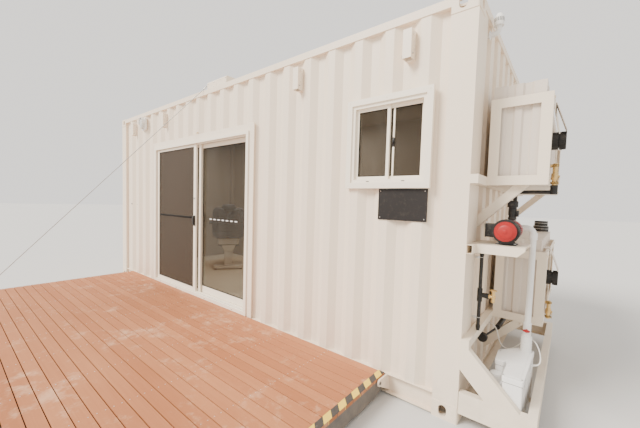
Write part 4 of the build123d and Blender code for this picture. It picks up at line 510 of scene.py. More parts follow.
BRASS = Metal("brass", colour=(0.74, 0.52, 0.22), rough=0.30, dull_colour=(0.33, 0.22, 0.10))
STEEL = Metal("bright_steel")
DARK_STEEL = Metal("dark_steel", colour=(0.10, 0.095, 0.09), rough=0.45)
STEEL_ROPE = Metal("steel_rope", colour=(0.42, 0.41, 0.40), rough=0.42)
UPHOLSTERY = Leather("chair_upholstery")
FLOOR_VINYL = Panel("floor_vinyl", colour=(0.84, 0.74, 0.56), rough=0.35, mottle=0.25)
# Painted shade: the white linings, ceiling and corner boards get a dark brown that stands for the dim room's shade.
SHADED_WALL_PANEL = Panel("shaded_wall_panel", colour=(0.29, 0.245, 0.19), rough=0.45, mottle=0.05)


# The CAD nodes and what they wear; deck_boards gets the boards' own finish

DRESS: tuple[tuple[Finish, str], ...] = (
    (BOX_PAINT, "corner_castings corner_posts top_rails bottom_rails front_wall_left front_wall_over_door"
                " front_wall_right back_wall left_end_wall right_end_wall roof_winch"),
    (UNDERFRAME, "cross_members deck_frame"),
    (FLOOR_VINYL, "floor"),
    (ROOF_PAINT, "roof"),
    # Linings and ceiling wear the dark painted shade of the dim room.
    (SHADED_WALL_PANEL, "wall_linings ceiling"),
    (TRIM_PAINT, "door_trim deck_sockets"),
    (FRAME_PAINT, "door_frame window_frame screen_door_frame sliding_door_frame"),
    (GLASS, "fixed_panes sliding_door_pane"),
    (BOARD_BLACK, "notice_board"),
    (WHITE_PLASTIC, "wall_light waste_pipe vent_cowl"),
    (STEEL_ROPE, "stay_cable"),
    (RACK_PAINT, "tank_rack tank_cages guard_frame pump_shelf"),
    (TANK_SKIN, "tank_shells tank_lids"),
    (BLACK_PLASTIC, "filler_caps black_pipes"),
    (BRASS, "brass_valves"),
    (RED_PAINT, "water_pump"),
    (BOX_PLASTIC, "waste_box"),
    (UPHOLSTERY, "treatment_chair"),
    (MESH, "screen_mesh"),
    (CORD_PLASTIC, "power_cord"),
)


def in_frame(point: Triple) -> Vector:
    """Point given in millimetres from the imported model's own origin."""
    return Vector(point) * MM


def turns(count: int, start: float = 0.0) -> list[float]:
    """Evenly spaced angles round a circle."""
    return [start + math.tau * i / count for i in range(count)]


def spoke(turn: float, axis: str = "Z", length: float = 1.0) -> Vector:
    """Vector of a length that stands on an axis at an angle round it."""
    one, two = length * math.cos(turn), length * math.sin(turn)
    return Vector({"X": (0.0, one, two), "Y": (one, 0.0, two), "Z": (one, two, 0.0)}[axis])


def facing(points: Iterable[Triple], way: Triple = FRONT, side: Triple = UP) -> list[Spot]:
    """Places that all face one way."""
    return [(point, way, side) for point in points]


@dataclass(frozen=True)
class Site:
    """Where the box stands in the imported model, in metres."""

    left: float
    right: float
    front: float

    @classmethod
    def read(cls) -> "Site":
        """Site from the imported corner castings."""
        low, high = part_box("corner_castings")
        return cls(low[0], high[0], low[1])

    def wall(self, point: Triple) -> Vector:
        """Point given from the left end, the front and the ground."""
        return Vector((self.left + point[0] * MM, self.front + point[1] * MM, point[2] * MM))

    def rack(self, point: Triple) -> Vector:
        """Point given from the right end, the front and the ground."""
        return Vector((self.right + point[0] * MM, self.front + point[1] * MM, point[2] * MM))

    def box(self, node: str) -> list[list[float]]:
        """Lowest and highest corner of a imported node, from the left end, the front and the ground."""
        base = (self.left, self.front, 0.0)
        return [[(part - start) / MM for part, start in zip(corner, base)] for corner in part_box(node)]


# Mesh making


class Shaper:
    """Gathers the forms of one piece in a single mesh; sizes are in millimetres."""

    def __init__(self, at: Callable[[Triple], Vector] = in_frame) -> None:
        """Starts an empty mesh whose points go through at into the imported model's frame."""
        self.mesh = bmesh.new()
        self.at = at

    def _soften(self, made: Iterable[bmesh.types.BMVert], offset: float) -> None:
        """Rounds the clear edges at new vertices by an offset.

        Args:
            made: new vertices.
            offset: width of the rounding.
        """
        edges = {edge for vertex in made for edge in vertex.link_edges}
        sharp = [edge for edge in edges if len(edge.link_faces) == 2 and edge.calc_face_angle(0.0) > SHARP]
        bmesh.ops.bevel(self.mesh, geom=sharp, offset=offset * MM, segments=2, profile=0.5, affect="EDGES")

    def block(self, low: Triple, high: Triple, soften: float = 0.0) -> None:
        """Adds a block between its lowest and highest corner, with rounded edges where soften is given.

        Args:
            low: lowest corner.
            high: highest corner.
            soften: width of its rounded edges.
        """
        low, high = self.at(low), self.at(high)
        made = bmesh.ops.create_cube(self.mesh, size=1.0)["verts"]
        for vertex in made:
            vertex.co = Vector([a + (b - a) * (part + 0.5) for a, b, part in zip(low, high, vertex.co)])
        if soften:
            self._soften(made, soften)

    def prism(self, corners: Sequence[Triple], way: Triple, soften: float = 0.0) -> None:
        """Adds a flat outline pushed along a way, with rounded edges where soften is given.

        Args:
            corners: outline in order.
            way: path of the push.
            soften: width of its rounded edges.
        """
        near = [self.mesh.verts.new(self.at(corner)) for corner in corners]
        far = [self.mesh.verts.new(self.at(corner) + Vector(way) * MM) for corner in corners]
        self.mesh.faces.new(near)
        self.mesh.faces.new(far[::-1])
        for i in range(len(corners)):
            j = (i + 1) % len(corners)
            self.mesh.faces.new((near[j], near[i], far[i], far[j]))
        if soften:
            self._soften(near + far, soften)

    def _ring(self, centre: Vector, across: Vector, up: Vector, radius: float, sides: int) -> list[Vector]:
        """Points of a ring in the plane of two unit directions, in metres."""
        return [centre + (across * math.cos(t) + up * math.sin(t)) * radius * MM for t in turns(sides)]

    def skin(self, rings: Iterable[Iterable[Vector]], closed: bool = False) -> None:
        """Joins rings of points with faces and caps the ends, or joins the last ring to the first.

        Args:
            rings: equally long rings of points in metres.
            closed: True where the last ring meets the first.
        """
        made = [[self.mesh.verts.new(point) for point in ring] for ring in rings]
        for one, two in zip(made, made[1:] + (made[:1] if closed else [])):
            for i in range(len(one)):
                j = (i + 1) % len(one)
                self.mesh.faces.new((one[i], one[j], two[j], two[i]))
        if not closed:
            self.mesh.faces.new(made[0][::-1])
            self.mesh.faces.new(made[-1])

    def turned(self, start: Triple, way: Triple, profile: Profile, sides: int = 32) -> None:
        """Adds a lathe form.

        Args:
            start: origin of the axis.
            way: direction of the axis.
            profile: distance along the axis and radius of each ring.
            sides: steps round the axis.
        """
        axis = Vector(way).normalized()
        across = axis.orthogonal().normalized()
        up, foot = axis.cross(across), self.at(start)
        self.skin([self._ring(foot + axis * along * MM, across, up, radius, sides) for along, radius in profile])

    def rod(self, start: Triple, end: Triple, radius: float, sides: int = 20, soften: float = 0.0) -> None:
        """Adds a round bar between two points, with chamfered ends where soften is given.

        Args:
            start: middle of one end.
            end: middle of the other.
            radius: bar's radius.
            sides: steps round it.
            soften: width of its chamfers.
        """
        way = self.at(end) - self.at(start)
        long = way.length / MM
        profile = [(0.0, radius), (long, radius)]
        if soften:
            profile = [(0.0, radius - soften), (soften, radius), (long - soften, radius), (long, radius - soften)]
        self.turned(start, way, profile, sides)

    def nut(self, start: Triple, radius: float, long: float, way: Triple = UP) -> None:
        """Adds a six-sided nut from the middle of its lower face; radius reaches its corners."""
        low, edge = radius * 0.93, 1.2
        self.turned(start, way, [(0.0, low), (edge, radius), (long - edge, radius), (long, low)], 6)

    def swept(self, points: Sequence[Triple], radii: float | Sequence[float], sides: int = 12,
              closed: bool = False) -> None:
        """Adds a round tube along points.

        Args:
            points: places in order.
            radii: one radius, or one for each point.
            sides: steps round it.
            closed: True for a loop.
        """
        path = [self.at(point) for point in points]
        sizes = [radii] * len(path) if isinstance(radii, (int, float)) else radii
        before = path[-1:] + path[:-1] if closed else path[:1] + path[:-1]
        after = path[1:] + (path[:1] if closed else path[-1:])
        ways = [(end - start).normalized() for start, end in zip(before, after)]
        across = ways[0].orthogonal().normalized()
        rings = []
        for point, way, size in zip(path, ways, sizes):
            across = (across - way * across.dot(way)).normalized()
            rings.append(self._ring(point, across, way.cross(across), size, sides))
        self.skin(rings, closed)

    def hoop(self, centre: Triple, radius: float, tube: float, steps: int = 28, sides: int = 6) -> None:
        """Adds a level ring of round bar."""
        self.swept([Vector(centre) + spoke(turn, length=radius) for turn in turns(steps)], tube, sides, closed=True)

    def border(self, low: tuple[float, float], high: tuple[float, float], wide: float, near: float,
               far: float) -> None:
        """Adds an upright rectangular rim that faces the front.

        Args:
            low: X and Z of the outer low corner.
            high: X and Z of the outer high corner.
            wide: width of the rim.
            near: Y of its front.
            far: Y of its back.
        """
        (x0, z0), (x1, z1) = low, high
        for a, b in (((x0, z0), (x1, z0 + wide)), ((x0, z1 - wide), (x1, z1)),
                     ((x0, z0 + wide), (x0 + wide, z1 - wide)), ((x1 - wide, z0 + wide), (x1, z1 - wide))):
            self.block((a[0], near, a[1]), (b[0], far, b[1]))

    def piece(self, name: str, finish: Finish, slot: str, body: str = "container",
              replaced: str = "") -> bpy.types.Object:
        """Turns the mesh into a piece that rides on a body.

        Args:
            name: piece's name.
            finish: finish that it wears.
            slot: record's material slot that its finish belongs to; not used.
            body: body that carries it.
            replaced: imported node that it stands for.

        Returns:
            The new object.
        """
        bmesh.ops.recalc_face_normals(self.mesh, faces=self.mesh.faces)
        for edge in self.mesh.edges:
            edge.smooth = len(edge.link_faces) == 2 and edge.calc_face_angle(0.0) < SHARP
        for face in self.mesh.faces:
            face.smooth = True
        data = bpy.data.meshes.new(name)
        self.mesh.to_mesh(data)
        self.mesh.free()
        return place_piece(name, data, finish, body, replaced)


def linked(name: str, data: bpy.types.ID) -> bpy.types.Object:
    """New object of a mesh, curve, lamp or camera, linked to the scene.

    Args:
        name: object's name.
        data: mesh, curve, lamp or camera.

    Returns:
        The object.
    """
    made = bpy.data.objects.new(name, data)
    bpy.context.collection.objects.link(made)
    return made


def solid_copy(made: bpy.types.Object) -> bpy.types.Mesh:
    """Plain mesh of an object as its modifiers leave it."""
    return bpy.data.meshes.new_from_object(made.evaluated_get(bpy.context.evaluated_depsgraph_get()))


def place_piece(name: str, data: bpy.types.Mesh, finish: Finish, body: str = "container",
                replaced: str = "") -> bpy.types.Object:
    """Links a mesh as a piece that rides on a body.

    Args:
        name: piece's name.
        data: its mesh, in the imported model's frame.
        finish: finish that it wears.
        body: body that carries it.
        replaced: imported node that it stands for.

    Returns:
        The new object.
    """
    data.materials.clear()
    data.materials.append(finish.material())
    made = linked(name, data)
    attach(made, body)
    if replaced:
        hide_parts(replaced)
    log.info("%s: %d faces on %s", name, len(data.polygons), body)
    return made


# Repeated forms by geometry nodes


class Head(Enum):
    """Form that a pattern repeats at each of its places."""

    DOME = "dome"
    HEXAGON = "hexagon"
    BAR = "bar"


class FormTree:
    """Geometry node tree with named inputs, filled by short calls."""

    def __init__(self, name: str, sizes: dict[str, tuple[str, Any]]) -> None:
        """Starts the tree with the type and first value of each named input.

        Args:
            name: tree's name.
            sizes: socket type and first value by input's name.
        """
        self.tree = bpy.data.node_groups.new(name, "GeometryNodeTree")
        self.ids: dict[str, str] = {}
        inputs = {"Geometry": ("NodeSocketGeometry", None), **sizes, "Material": ("NodeSocketMaterial", None)}
        for key, (kind, default) in inputs.items():
            socket = self.tree.interface.new_socket(key, in_out="INPUT", socket_type=kind)
            if default is not None:
                socket.default_value = default
            self.ids[key] = socket.identifier
        self.tree.interface.new_socket("Geometry", in_out="OUTPUT", socket_type="NodeSocketGeometry")
        self.given = self.tree.nodes.new("NodeGroupInput").outputs

    def add(self, kind: str, settings: dict[str, Any], inputs: dict[Any, Any],
            result: Any) -> bpy.types.NodeSocket:
        """Output of a new node, by name or number."""
        return add_node(self.tree, kind, settings, inputs).outputs[result]

    def share(self, socket: bpy.types.NodeSocket, share: float = 0.5) -> bpy.types.NodeSocket:
        """Share of a number."""
        return self.add("ShaderNodeMath", {"operation": "MULTIPLY"}, {0: socket, 1: share}, 0)

    def triple(self, x: Any, y: Any, z: Any) -> bpy.types.NodeSocket:
        """Vector of three sockets or numbers."""
        return self.add("ShaderNodeCombineXYZ", {}, {"X": x, "Y": y, "Z": z}, "Vector")

    def stacked(self, foot: bpy.types.NodeSocket, top: bpy.types.NodeSocket, rise: Any) -> bpy.types.NodeSocket:
        """Two forms as one, the second lifted along its own Z.

        Args:
            foot: lower form.
            top: upper form.
            rise: lift of the upper one.

        Returns:
            Both forms.
        """
        inputs = {"Geometry": top, "Translation": self.triple(0.0, 0.0, rise)}
        lifted = self.add("GeometryNodeTransform", {}, inputs, "Geometry")
        node = self.tree.nodes.new("GeometryNodeJoinGeometry")
        for form in (foot, lifted):
            self.tree.links.new(form, node.inputs[0])
        return node.outputs[0]

    def finish(self, copies: bpy.types.NodeSocket) -> None:
        """Ends the tree: real copies with the material.

        Args:
            copies: placed copies.
        """
        solid = self.add("GeometryNodeRealizeInstances", {}, {"Geometry": copies}, "Geometry")
        inputs = {"Geometry": solid, "Material": self.given["Material"]}
        dressed = self.add("GeometryNodeSetMaterial", {}, inputs, "Geometry")
        self.tree.links.new(dressed, self.tree.nodes.new("NodeGroupOutput").inputs[0])

    def made(self, name: str, carrier_data: bpy.types.ID, finish: Finish,
             sizes: dict[str, float]) -> bpy.types.Mesh:
        """Runs the tree once and gives a plain mesh.

        Args:
            name: mesh's name.
            carrier_data: mesh or curve that the tree starts from.
            finish: finish of the copies.
            sizes: values of the named inputs.

        Returns:
            The plain mesh.
        """
        carrier = linked(name + "_carrier", carrier_data)
        modifier = carrier.modifiers.new("pattern", "NODES")
        modifier.node_group = self.tree
        for key, size in sizes.items():
            modifier[self.ids[key]] = size
        modifier[self.ids["Material"]] = finish.material()
        solid = solid_copy(carrier)
        solid.name = name
        carrier.modifiers.remove(modifier)
        bpy.data.objects.remove(carrier)
        return solid


class Pattern(FormTree):
    """Tree that repeats one small form at given places."""

    trees: ClassVar[dict[Head, "Pattern"]] = {}

    def __init__(self, head: Head) -> None:
        """Builds the tree for one form.

        Args:
            head: form that is repeated.
        """
        super().__init__("repeated_" + head.value, {
            "Width": ("NodeSocketFloat", 0.01), "Height": ("NodeSocketFloat", 0.004),
            "Length": ("NodeSocketFloat", 0.01), "Seed": ("NodeSocketInt", 7)})
        form = {Head.DOME: self._dome, Head.HEXAGON: self._hexagon, Head.BAR: self._bar}[head]()
        way, side = (self.add("GeometryNodeInputNamedAttribute", {"data_type": "FLOAT_VECTOR"}, {"Name": name},
                              "Attribute") for name in ("way", "side"))
        align = "FunctionNodeAlignRotationToVector"
        upright = self.add(align, {"axis": "Z"}, {"Vector": way}, "Rotation")
        turned = self.add(align, {"axis": "X", "pivot_axis": "Z"}, {"Rotation": upright, "Vector": side}, "Rotation")
        if head is Head.HEXAGON:
            turned = self._spun(turned)
        inputs = {"Points": self.given["Geometry"], "Instance": form, "Rotation": turned}
        self.finish(self.add("GeometryNodeInstanceOnPoints", {}, inputs, "Instances"))

    def _spun(self, rotation: bpy.types.NodeSocket) -> bpy.types.NodeSocket:
        """Rotation with a random turn round the form's own axis, from the named seed.

        Args:
            rotation: rotation before the turn.

        Returns:
            Rotation after it.
        """
        random = add_node(self.tree, "FunctionNodeRandomValue", {"data_type": "FLOAT"}, {})
        low, high, seed = [socket for socket in random.inputs if socket.enabled and socket.name != "ID"]
        low.default_value, high.default_value = 0.0, math.tau
        self.tree.links.new(self.given["Seed"], seed)
        spin = next(socket for socket in random.outputs if socket.enabled)
        twist = self.add("FunctionNodeAxisAngleToRotation", {}, {"Axis": UP, "Angle": spin}, "Rotation")
        return self.add("FunctionNodeRotateRotation", {"rotation_space": "LOCAL"},
                        {"Rotation": rotation, "Rotate By": twist}, "Rotation")

    def _cone(self, foot: float, top: float, high: bpy.types.NodeSocket) -> bpy.types.NodeSocket:
        """Ten-sided cone whose radii are shares of the width.

        Args:
            foot: share at its foot.
            top: share at its top.
            high: its height.

        Returns:
            The cone.
        """
        width = self.given["Width"]
        inputs = {"Vertices": 10, "Radius Top": self.share(width, top), "Radius Bottom": self.share(width, foot),
                  "Depth": high}
        return self.add("GeometryNodeMeshCone", {}, inputs, "Mesh")

    def _dome(self) -> bpy.types.NodeSocket:
        """Low round screw head: a plate under a narrower crown."""
        height = self.given["Height"]
        return self.stacked(self._cone(0.5, 0.42, height), self._cone(0.42, 0.12, self.share(height)), height)

    def _drum(self, vertices: int, radius: float, high: bpy.types.NodeSocket) -> bpy.types.NodeSocket:
        """Cylinder whose radius is a share of the width."""
        inputs = {"Vertices": vertices, "Radius": self.share(self.given["Width"], radius), "Depth": high}
        return self.add("GeometryNodeMeshCylinder", {}, inputs, "Mesh")

    def _hexagon(self) -> bpy.types.NodeSocket:
        """Bolt head on a washer."""
        height = self.given["Height"]
        return self.stacked(self._drum(16, 0.80, self.share(height, 0.4)), self._drum(6, 0.5, height),
                            self.share(height))

    def _bar(self) -> bpy.types.NodeSocket:
        """Plain rib: Length along X, Width along Y and Height along Z."""
        size = self.triple(self.given["Length"], self.given["Width"], self.given["Height"])
        return self.add("GeometryNodeMeshCube", {}, {"Size": size}, "Mesh")


def repeat(name: str, head: Head, at: Callable[[Triple], Vector], spots: Sequence[Spot], finish: Finish,
           sizes: Triple, body: str = "container", seed: int = 7) -> None:
    """Makes one piece with the same form at every place.

    Args:
        name: piece's name.
        head: form to repeat.
        at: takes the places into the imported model's frame.
        spots: each place, its outward direction and a direction across it.
        finish: finish that the copies wear.
        sizes: width and height of the form, and a bar's length.
        body: body that carries them.
        seed: seed of the bolts' turns.
    """
    base = bpy.data.meshes.new(name + "_places")
    base.from_pydata([tuple(at(place)) for place, _, _ in spots], [], [])
    for key, index in (("way", 1), ("side", 2)):
        attribute = base.attributes.new(key, "FLOAT_VECTOR", "POINT")
        attribute.data.foreach_set("vector", [part for spot in spots for part in spot[index]])
    if head not in Pattern.trees:
        Pattern.trees[head] = Pattern(head)
    values = {key: size * MM for key, size in zip(("Width", "Height", "Length"), sizes)}
    data = Pattern.trees[head].made(name, base, finish, {**values, "Seed": seed})
    place_piece(name, data, finish, body)


class BoardRow(FormTree):
    """Tree that pushes one profile into a board and lays boards side by side."""

    def __init__(self) -> None:
        """Builds the tree."""
        super().__init__("board_row", {"Length": ("NodeSocketFloat", 1.0), "Pitch": ("NodeSocketFloat", 0.09),
                                       "Count": ("NodeSocketInt", 26)})
        run = self.add("GeometryNodeCurvePrimitiveLine", {"mode": "POINTS"},
                       {"Start": (0.0, 0.0, 0.0), "End": self.triple(self.given["Length"], 0.0, 0.0)}, "Curve")
        board = self.add("GeometryNodeCurveToMesh", {},
                         {"Curve": run, "Profile Curve": self.given["Geometry"], "Fill Caps": True}, "Mesh")
        row = self.add("GeometryNodeMeshLine", {"mode": "OFFSET"},
                       {"Count": self.given["Count"], "Offset": self.triple(0.0, self.given["Pitch"], 0.0)}, "Mesh")
        self.finish(self.add("GeometryNodeInstanceOnPoints", {}, {"Points": row, "Instance": board}, "Instances"))


# Sub-assemblies


def deck_finish() -> DeckBoards:
    """Finish of the deck's boards, counted from the deck's outer edge."""
    return DeckBoards("deck_boards", front=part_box("deck_boards")[0][1])


def dress(nodes: dict[str, bpy.types.Object]) -> None:
    """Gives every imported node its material.

    Args:
        nodes: packed objects by name.
    """
    worn = {node: finish for finish, names in DRESS for node in names.split()}
    worn["deck_boards"] = deck_finish()
    for name, node in nodes.items():
        for slot in node.material_slots:
            slot.material = worn.get(name, BOX_PAINT).material()
    log.info("dressed %d packed nodes", len(nodes))


@dataclass
class PowerCord:
    """White cord from its gland on the end wall to the waste box, with a ribbed sleeve at each end."""

    site: Site
    diameter: float = 8.0
    length: float = 750.0
    relief: float = 34.0
    sleeve: tuple[float, float, float] = (7.2, 2.4, 0.6)
    rib: float = 3.0
    route: tuple[Triple, ...] = (
        (14, 734, 519), (48, 734, 519), (82, 697, 518), (110, 668, 486), (122, 664, 429),
        (145, 664, 376), (187, 662, 362), (230, 655, 385), (264, 648, 424), (293, 643, 464),
        (327, 632, 496), (357, 612, 504), (383, 585, 488), (403, 553, 455), (415, 520, 419),
        (414, 493, 390), (400, 474, 374), (374, 464, 372))

    def _sleeve(self, name: str, run: Sequence[Vector]) -> bpy.types.Object:
        """Makes the tapered sleeve at the start of the cord's line.

        Args:
            name: piece's name.
            run: points of the line in millimetres, from the sleeve's end on.

        Returns:
            The sleeve.
        """
        mouth, taper, ridge = self.sleeve
        along, radii, gone = [run[0]], [mouth], 0.0
        for before, after in zip(run, run[1:]):
            step = (after - before).length
            if gone + step > self.relief:
                break
            pieces = max(1, round(2 * step / self.rib))
            for k in range(1, pieces + 1):
                gone += step / pieces
                along.append(before.lerp(after, k / pieces))
                radii.append(mouth - taper * gone / self.relief + (ridge if int(gone / self.rib) % 2 else 0.0))
        shape = Shaper()
        shape.swept(along, radii, 16)
        return shape.piece(name, CORD_PLASTIC, "power_cord")

    def build(self) -> None:
        """Lays the cord along its route as one smooth spline."""
        curve = bpy.data.curves.new("power_lead", "CURVE")
        curve.dimensions = "3D"
        curve.bevel_resolution = 4
        curve.resolution_u = 8
        curve.use_fill_caps = True
        spline = curve.splines.new("NURBS")
        spline.points.add(len(self.route) - 1)
        points = [self.site.rack(point) for point in self.route]
        for control, point in zip(spline.points, points):
            control.co = (*point, 1.0)
        spline.order_u = 3
        spline.use_endpoint_u = True
        cord = linked("power_lead", curve)
        line = [vertex.co / MM for vertex in solid_copy(cord).vertices]
        curve.bevel_depth = self.diameter * MM / 2
        curve.materials.append(CORD_PLASTIC.material())
        sleeves = [self._sleeve("cord_wall_relief", line), self._sleeve("cord_box_relief", line[::-1])]
        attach(cord, "container")
        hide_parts("power_cord")
        self.diameter * MM
        log.info("power lead of %d points", len(points))


@dataclass
class WallSteel:
    """Welds, bolts, corner boards and small hooks on the steel box."""

    site: Site
    length: float = 6058.0
    width: float = 2438.0
    height: float = 2896.0
    casting: Triple = (178.0, 162.0, 118.0)
    bead: float = 7.0
    inset: float = 6.0
    room: tuple[float, float] = (176.0, 2789.0)
    board: Profile = ((98.0, 168.0), (183.5, 168.0), (183.5, 88.0), (179.5, 88.0), (179.5, 164.0), (98.0, 164.0))

    def _corners(self) -> Iterator[Callable[[float, float, float], Triple]]:
        """Gives, for each of the box's four corners, a function of a point counted inwards from it."""
        for x, sx in ((0.0, 1.0), (self.length, -1.0)):
            for y, sy in ((0.0, 1.0), (self.width, -1.0)):
                yield lambda a, b, z, x=x, y=y, sx=sx, sy=sy: (x + sx * a, y + sy * b, z)

    def _frame(self) -> None:
        """Boxes in the corner posts in the room, and runs weld beads where posts and rails meet the castings."""
        boards, beads = Shaper(self.site.wall), Shaper(self.site.wall)
        low, high = self.room
        long, deep, tall = self.casting
        for corner in self._corners():
            boards.prism([corner(x, y, low) for x, y in self.board], (0.0, 0.0, high - low), 1.0)
            for z in (tall, self.height - tall):
                beads.swept([corner(self.inset, deep, z), corner(self.inset, self.inset, z),
                             corner(long, self.inset, z)], self.bead / 2, 8)
        # Corner boards wear the linings' dark painted shade.
        boards.piece("corner_boards", SHADED_WALL_PANEL, "wall_linings")
        beads.piece("casting_welds", BOX_PAINT, "corner_castings")

    def build(self) -> None:
        """Makes every piece of the box's steel, with the hook over the door and the winch cover's screws."""
        self._frame()
        wall = self.site.wall
        repeat("wall_bolts", Head.HEXAGON, wall, facing([(448, 5.5, 1370), (624, 29.3, 1361)]), DARK_STEEL,
               (16.0, 9.0))
        hook = Shaper(wall)
        curl = ((2.0, 2366), (-14.0, 2366), (-22.0, 2360), (-22.0, 2350), (-16.0, 2344))
        hook.swept([(2670, y, z) for y, z in curl], 2.5, 8)
        hook.turned((2670, 2.0, 2366), FRONT, [(0.0, 11.0), (3.0, 11.0), (4.0, 8.0)], 20)
        hook.piece("trim_hook", BRASS, "door_trim")
        screws = facing((x, 17.6, z) for x in (2880, 3012, 3144, 3258) for z in (2902, 2958))
        repeat("winch_screws", Head.DOME, wall, screws, STEEL, (12.0, 4.0))
        seam = Shaper(wall)
        low, high = self.site.box("roof_winch")
        seam.block((3062, low[1] - 1.2, high[2] - 83), (3074, low[1] + 4, high[2] - 22), 0.6)
        seam.piece("winch_seam", BOX_PAINT, "roof_winch")


@dataclass
class DeckSocket:
    """Four sockets under the roof rail with the pins that lock the deck's posts."""

    site: Site
    places: tuple[float, ...] = (640.0, 1760.0, 4500.0, 5600.0)
    wide: float = 65.0
    low: float = 2548.0
    high: float = 2750.0
    front: float = -57.0
    ring: float = 12.0

    def build(self) -> None:
        """Makes pins with their rings and the bolts of the sockets."""
        pins = Shaper(self.site.wall)
        bolts = []
        y, z = self.front + 22, self.low + 34.0
        for x in self.places:
            pins.rod((x - self.wide / 2 - 12, y, z), (x + self.wide / 2 + 9, y, z), 5.5, 14, 1.0)
            pins.swept([(x - self.wide / 2 - 10, y + self.ring * math.sin(t), z - self.ring + self.ring * math.cos(t))
                        for t in turns(16)], 1.6, 6, closed=True)
            for rise in (self.low + 80.0, self.high - 30.0):
                for side in (-1.0, 1.0):
                    bolts.append(((x + side * self.wide * 0.5, self.front + 30, rise), (side, 0.0, 0.0), UP))
        pins.piece("socket_pins", STEEL, "deck_sockets")
        repeat("socket_bolts", Head.HEXAGON, self.site.wall, bolts, TRIM_PAINT, (15.0, 7.0))


@dataclass
class WallLight:
    """Oval bulkhead light: base, ribbed lens and hood."""

    site: Site
    x: float = 1000.0
    z: float = 2695.0
    wide: float = 140.0
    high: float = 210.0
    base: float = 28.0
    wall_at: float = 6.0
    lens: Profile = ((0.78, 0.0), (0.80, 10.0), (0.76, 24.0), (0.64, 36.0), (0.42, 42.5), (0.16, 44.5))

    def _oval(self, share: float, out: float) -> list[Triple]:
        """Points of an oval round the lens axis: its share of the base plate and its distance from it."""
        return [(self.x + share * self.wide / 2 * math.cos(t), self.wall_at - self.base - out,
                 self.z + share * self.high / 2 * math.sin(t)) for t in turns(40)]

    def _rib(self, tilt: float) -> list[Triple]:
        """Points of one guard bar over the lens, tilted to its side."""
        angles = [math.radians(angle) for angle in range(-84, 85, 12)]
        return [(self.x + tilt * self.wide * 0.5 * math.cos(t) * 0.9 + tilt * 8.0,
                 self.wall_at - self.base - 48.0 * math.cos(t) ** 0.5, self.z + 0.41 * self.high * math.sin(t))
                for t in angles]

    def build(self) -> None:
        """Makes the lens, its ribs, the gasket and the base's screws."""
        wall = self.site.wall
        lens, rim = Shaper(wall), Shaper(wall)
        lens.skin([[wall(point) for point in self._oval(share, out)] for share, out in self.lens])
        lens.piece("light_lens", LENS_GLASS, "wall_light")
        rim.swept(self._oval(0.86, 1.5), 3.2, 8, closed=True)
        for tilt in (-0.5, 0.0, 0.5):
            rim.swept(self._rib(tilt), 1.6, 8)
        rim.piece("light_rim", WHITE_PLASTIC, "wall_light")
        screws = facing((self.x + a, 6.2 - self.base, self.z - 90.0) for a in (-40.0, 40.0))
        repeat("light_screws", Head.DOME, wall, screws, STEEL, (7.0, 3.0))


@dataclass
class NoticeBoard:
    """Blank dark board under the window, held by a screw in each corner."""

    site: Site
    left: float = 5390.0
    right: float = 5780.0
    low: float = 1375.0
    high: float = 1615.0
    inset: float = 18.0

    def build(self) -> None:
        """Makes the raised rim and the screws."""
        rim = Shaper(self.site.wall)
        rim.border((self.left, self.low), (self.right, self.high), 5.0, -1.2, 2.0)
        rim.piece("board_rim", BOARD_BLACK, "notice_board")
        screws = facing((x, -0.2, z) for x in (self.left + self.inset, self.right - self.inset)
                        for z in (self.low + self.inset, self.high - self.inset))
        repeat("board_screws", Head.DOME, self.site.wall, screws, STEEL, (9.0, 3.0))


@dataclass
class Window:
    """Sliding window: gaskets, latch and drain slots, whose dark blocks are painted shade."""

    site: Site
    left: float = 5130.0
    right: float = 5752.0
    low: float = 1665.0
    high: float = 2288.0
    face: float = 26.0
    sash: float = 24.0
    lap: float = 16.0
    sash_depth: float = 12.0
    sash_thick: float = 20.0
    rim: float = 23.0

    def _sashes(self) -> list[Triple]:
        """Measures each sash's glass.

        Returns:
            Left, right and front of each.
        """
        sight_left, sight_right = self.left + self.face, self.right - self.face
        split = (sight_left + sight_right) / 2
        return [(sight_left + self.sash, split + self.lap - self.sash, self.sash_depth),
                (split - self.lap + self.sash, sight_right - self.sash, self.sash_depth + self.sash_thick)]

    def _meeting(self, low: float, high: float) -> None:
        """Makes the bar where the sashes meet, and the latch in its middle.

        Args:
            low: bottom of the glass.
            high: top of the glass.
        """
        latch, bar = Shaper(self.site.wall), Shaper(self.site.wall)
        left, _, front = self._sashes()[1]
        middle, x = (self.low + self.high) / 2, left + 34.0
        for start, end in ((low - 1, middle - 36), (middle + 36, high + 1)):
            bar.block((x - 7, front - 2, start), (x + 7, front + 9, end), 1.0)
        bar.piece("window_interlock", FRAME_PAINT, "window_frame")
        latch.block((x - 9, front - 4, middle - 34), (x + 9, front, middle + 34), 2.0)
        latch.prism([(x - 5, front - out, middle + up) for out, up in ((4, -20), (16, -4), (16, 6), (4, 12))],
                    (10.0, 0.0, 0.0), 1.0)
        latch.piece("window_latch", BLACK_PLASTIC, "window_frame")

    def build(self) -> None:
        """Makes the rubber seals, the latch, dark blocks as painted shade in the drain slots, and the trim's screws.
        """
        seals, drain_shades = Shaper(self.site.wall), Shaper(self.site.wall)
        low, high = self.low + self.face + self.sash, self.high - self.face - self.sash
        for left, right, front in self._sashes():
            for near in (front + 4.5, front + self.sash_thick - 6.5):
                seals.border((left, low), (right, high), 4.0, near, near + 2.0)
        seals.piece("window_seals", RUBBER, "window_frame")
        self._meeting(low, high)
        # Painted shade: dark blocks stand in for the shade inside the drain slots.
        for x in (self.left + 160.0, self.right - 160.0):
            drain_shades.block((x - 13, -14.2, self.low + 7), (x + 13, -12.0, self.low + 12), 0.6)
        drain_shades.piece("window_drain_shadows", RUBBER, "window_frame")
        screws = facing((x, -25.3, z) for x in (self.left - self.rim, (self.left + self.right) / 2,
                                                self.right + self.rim)
                        for z in (self.low - self.rim, self.high + self.rim))
        repeat("window_screws", Head.DOME, self.site.wall, screws, FRAME_PAINT, (8.0, 2.0))


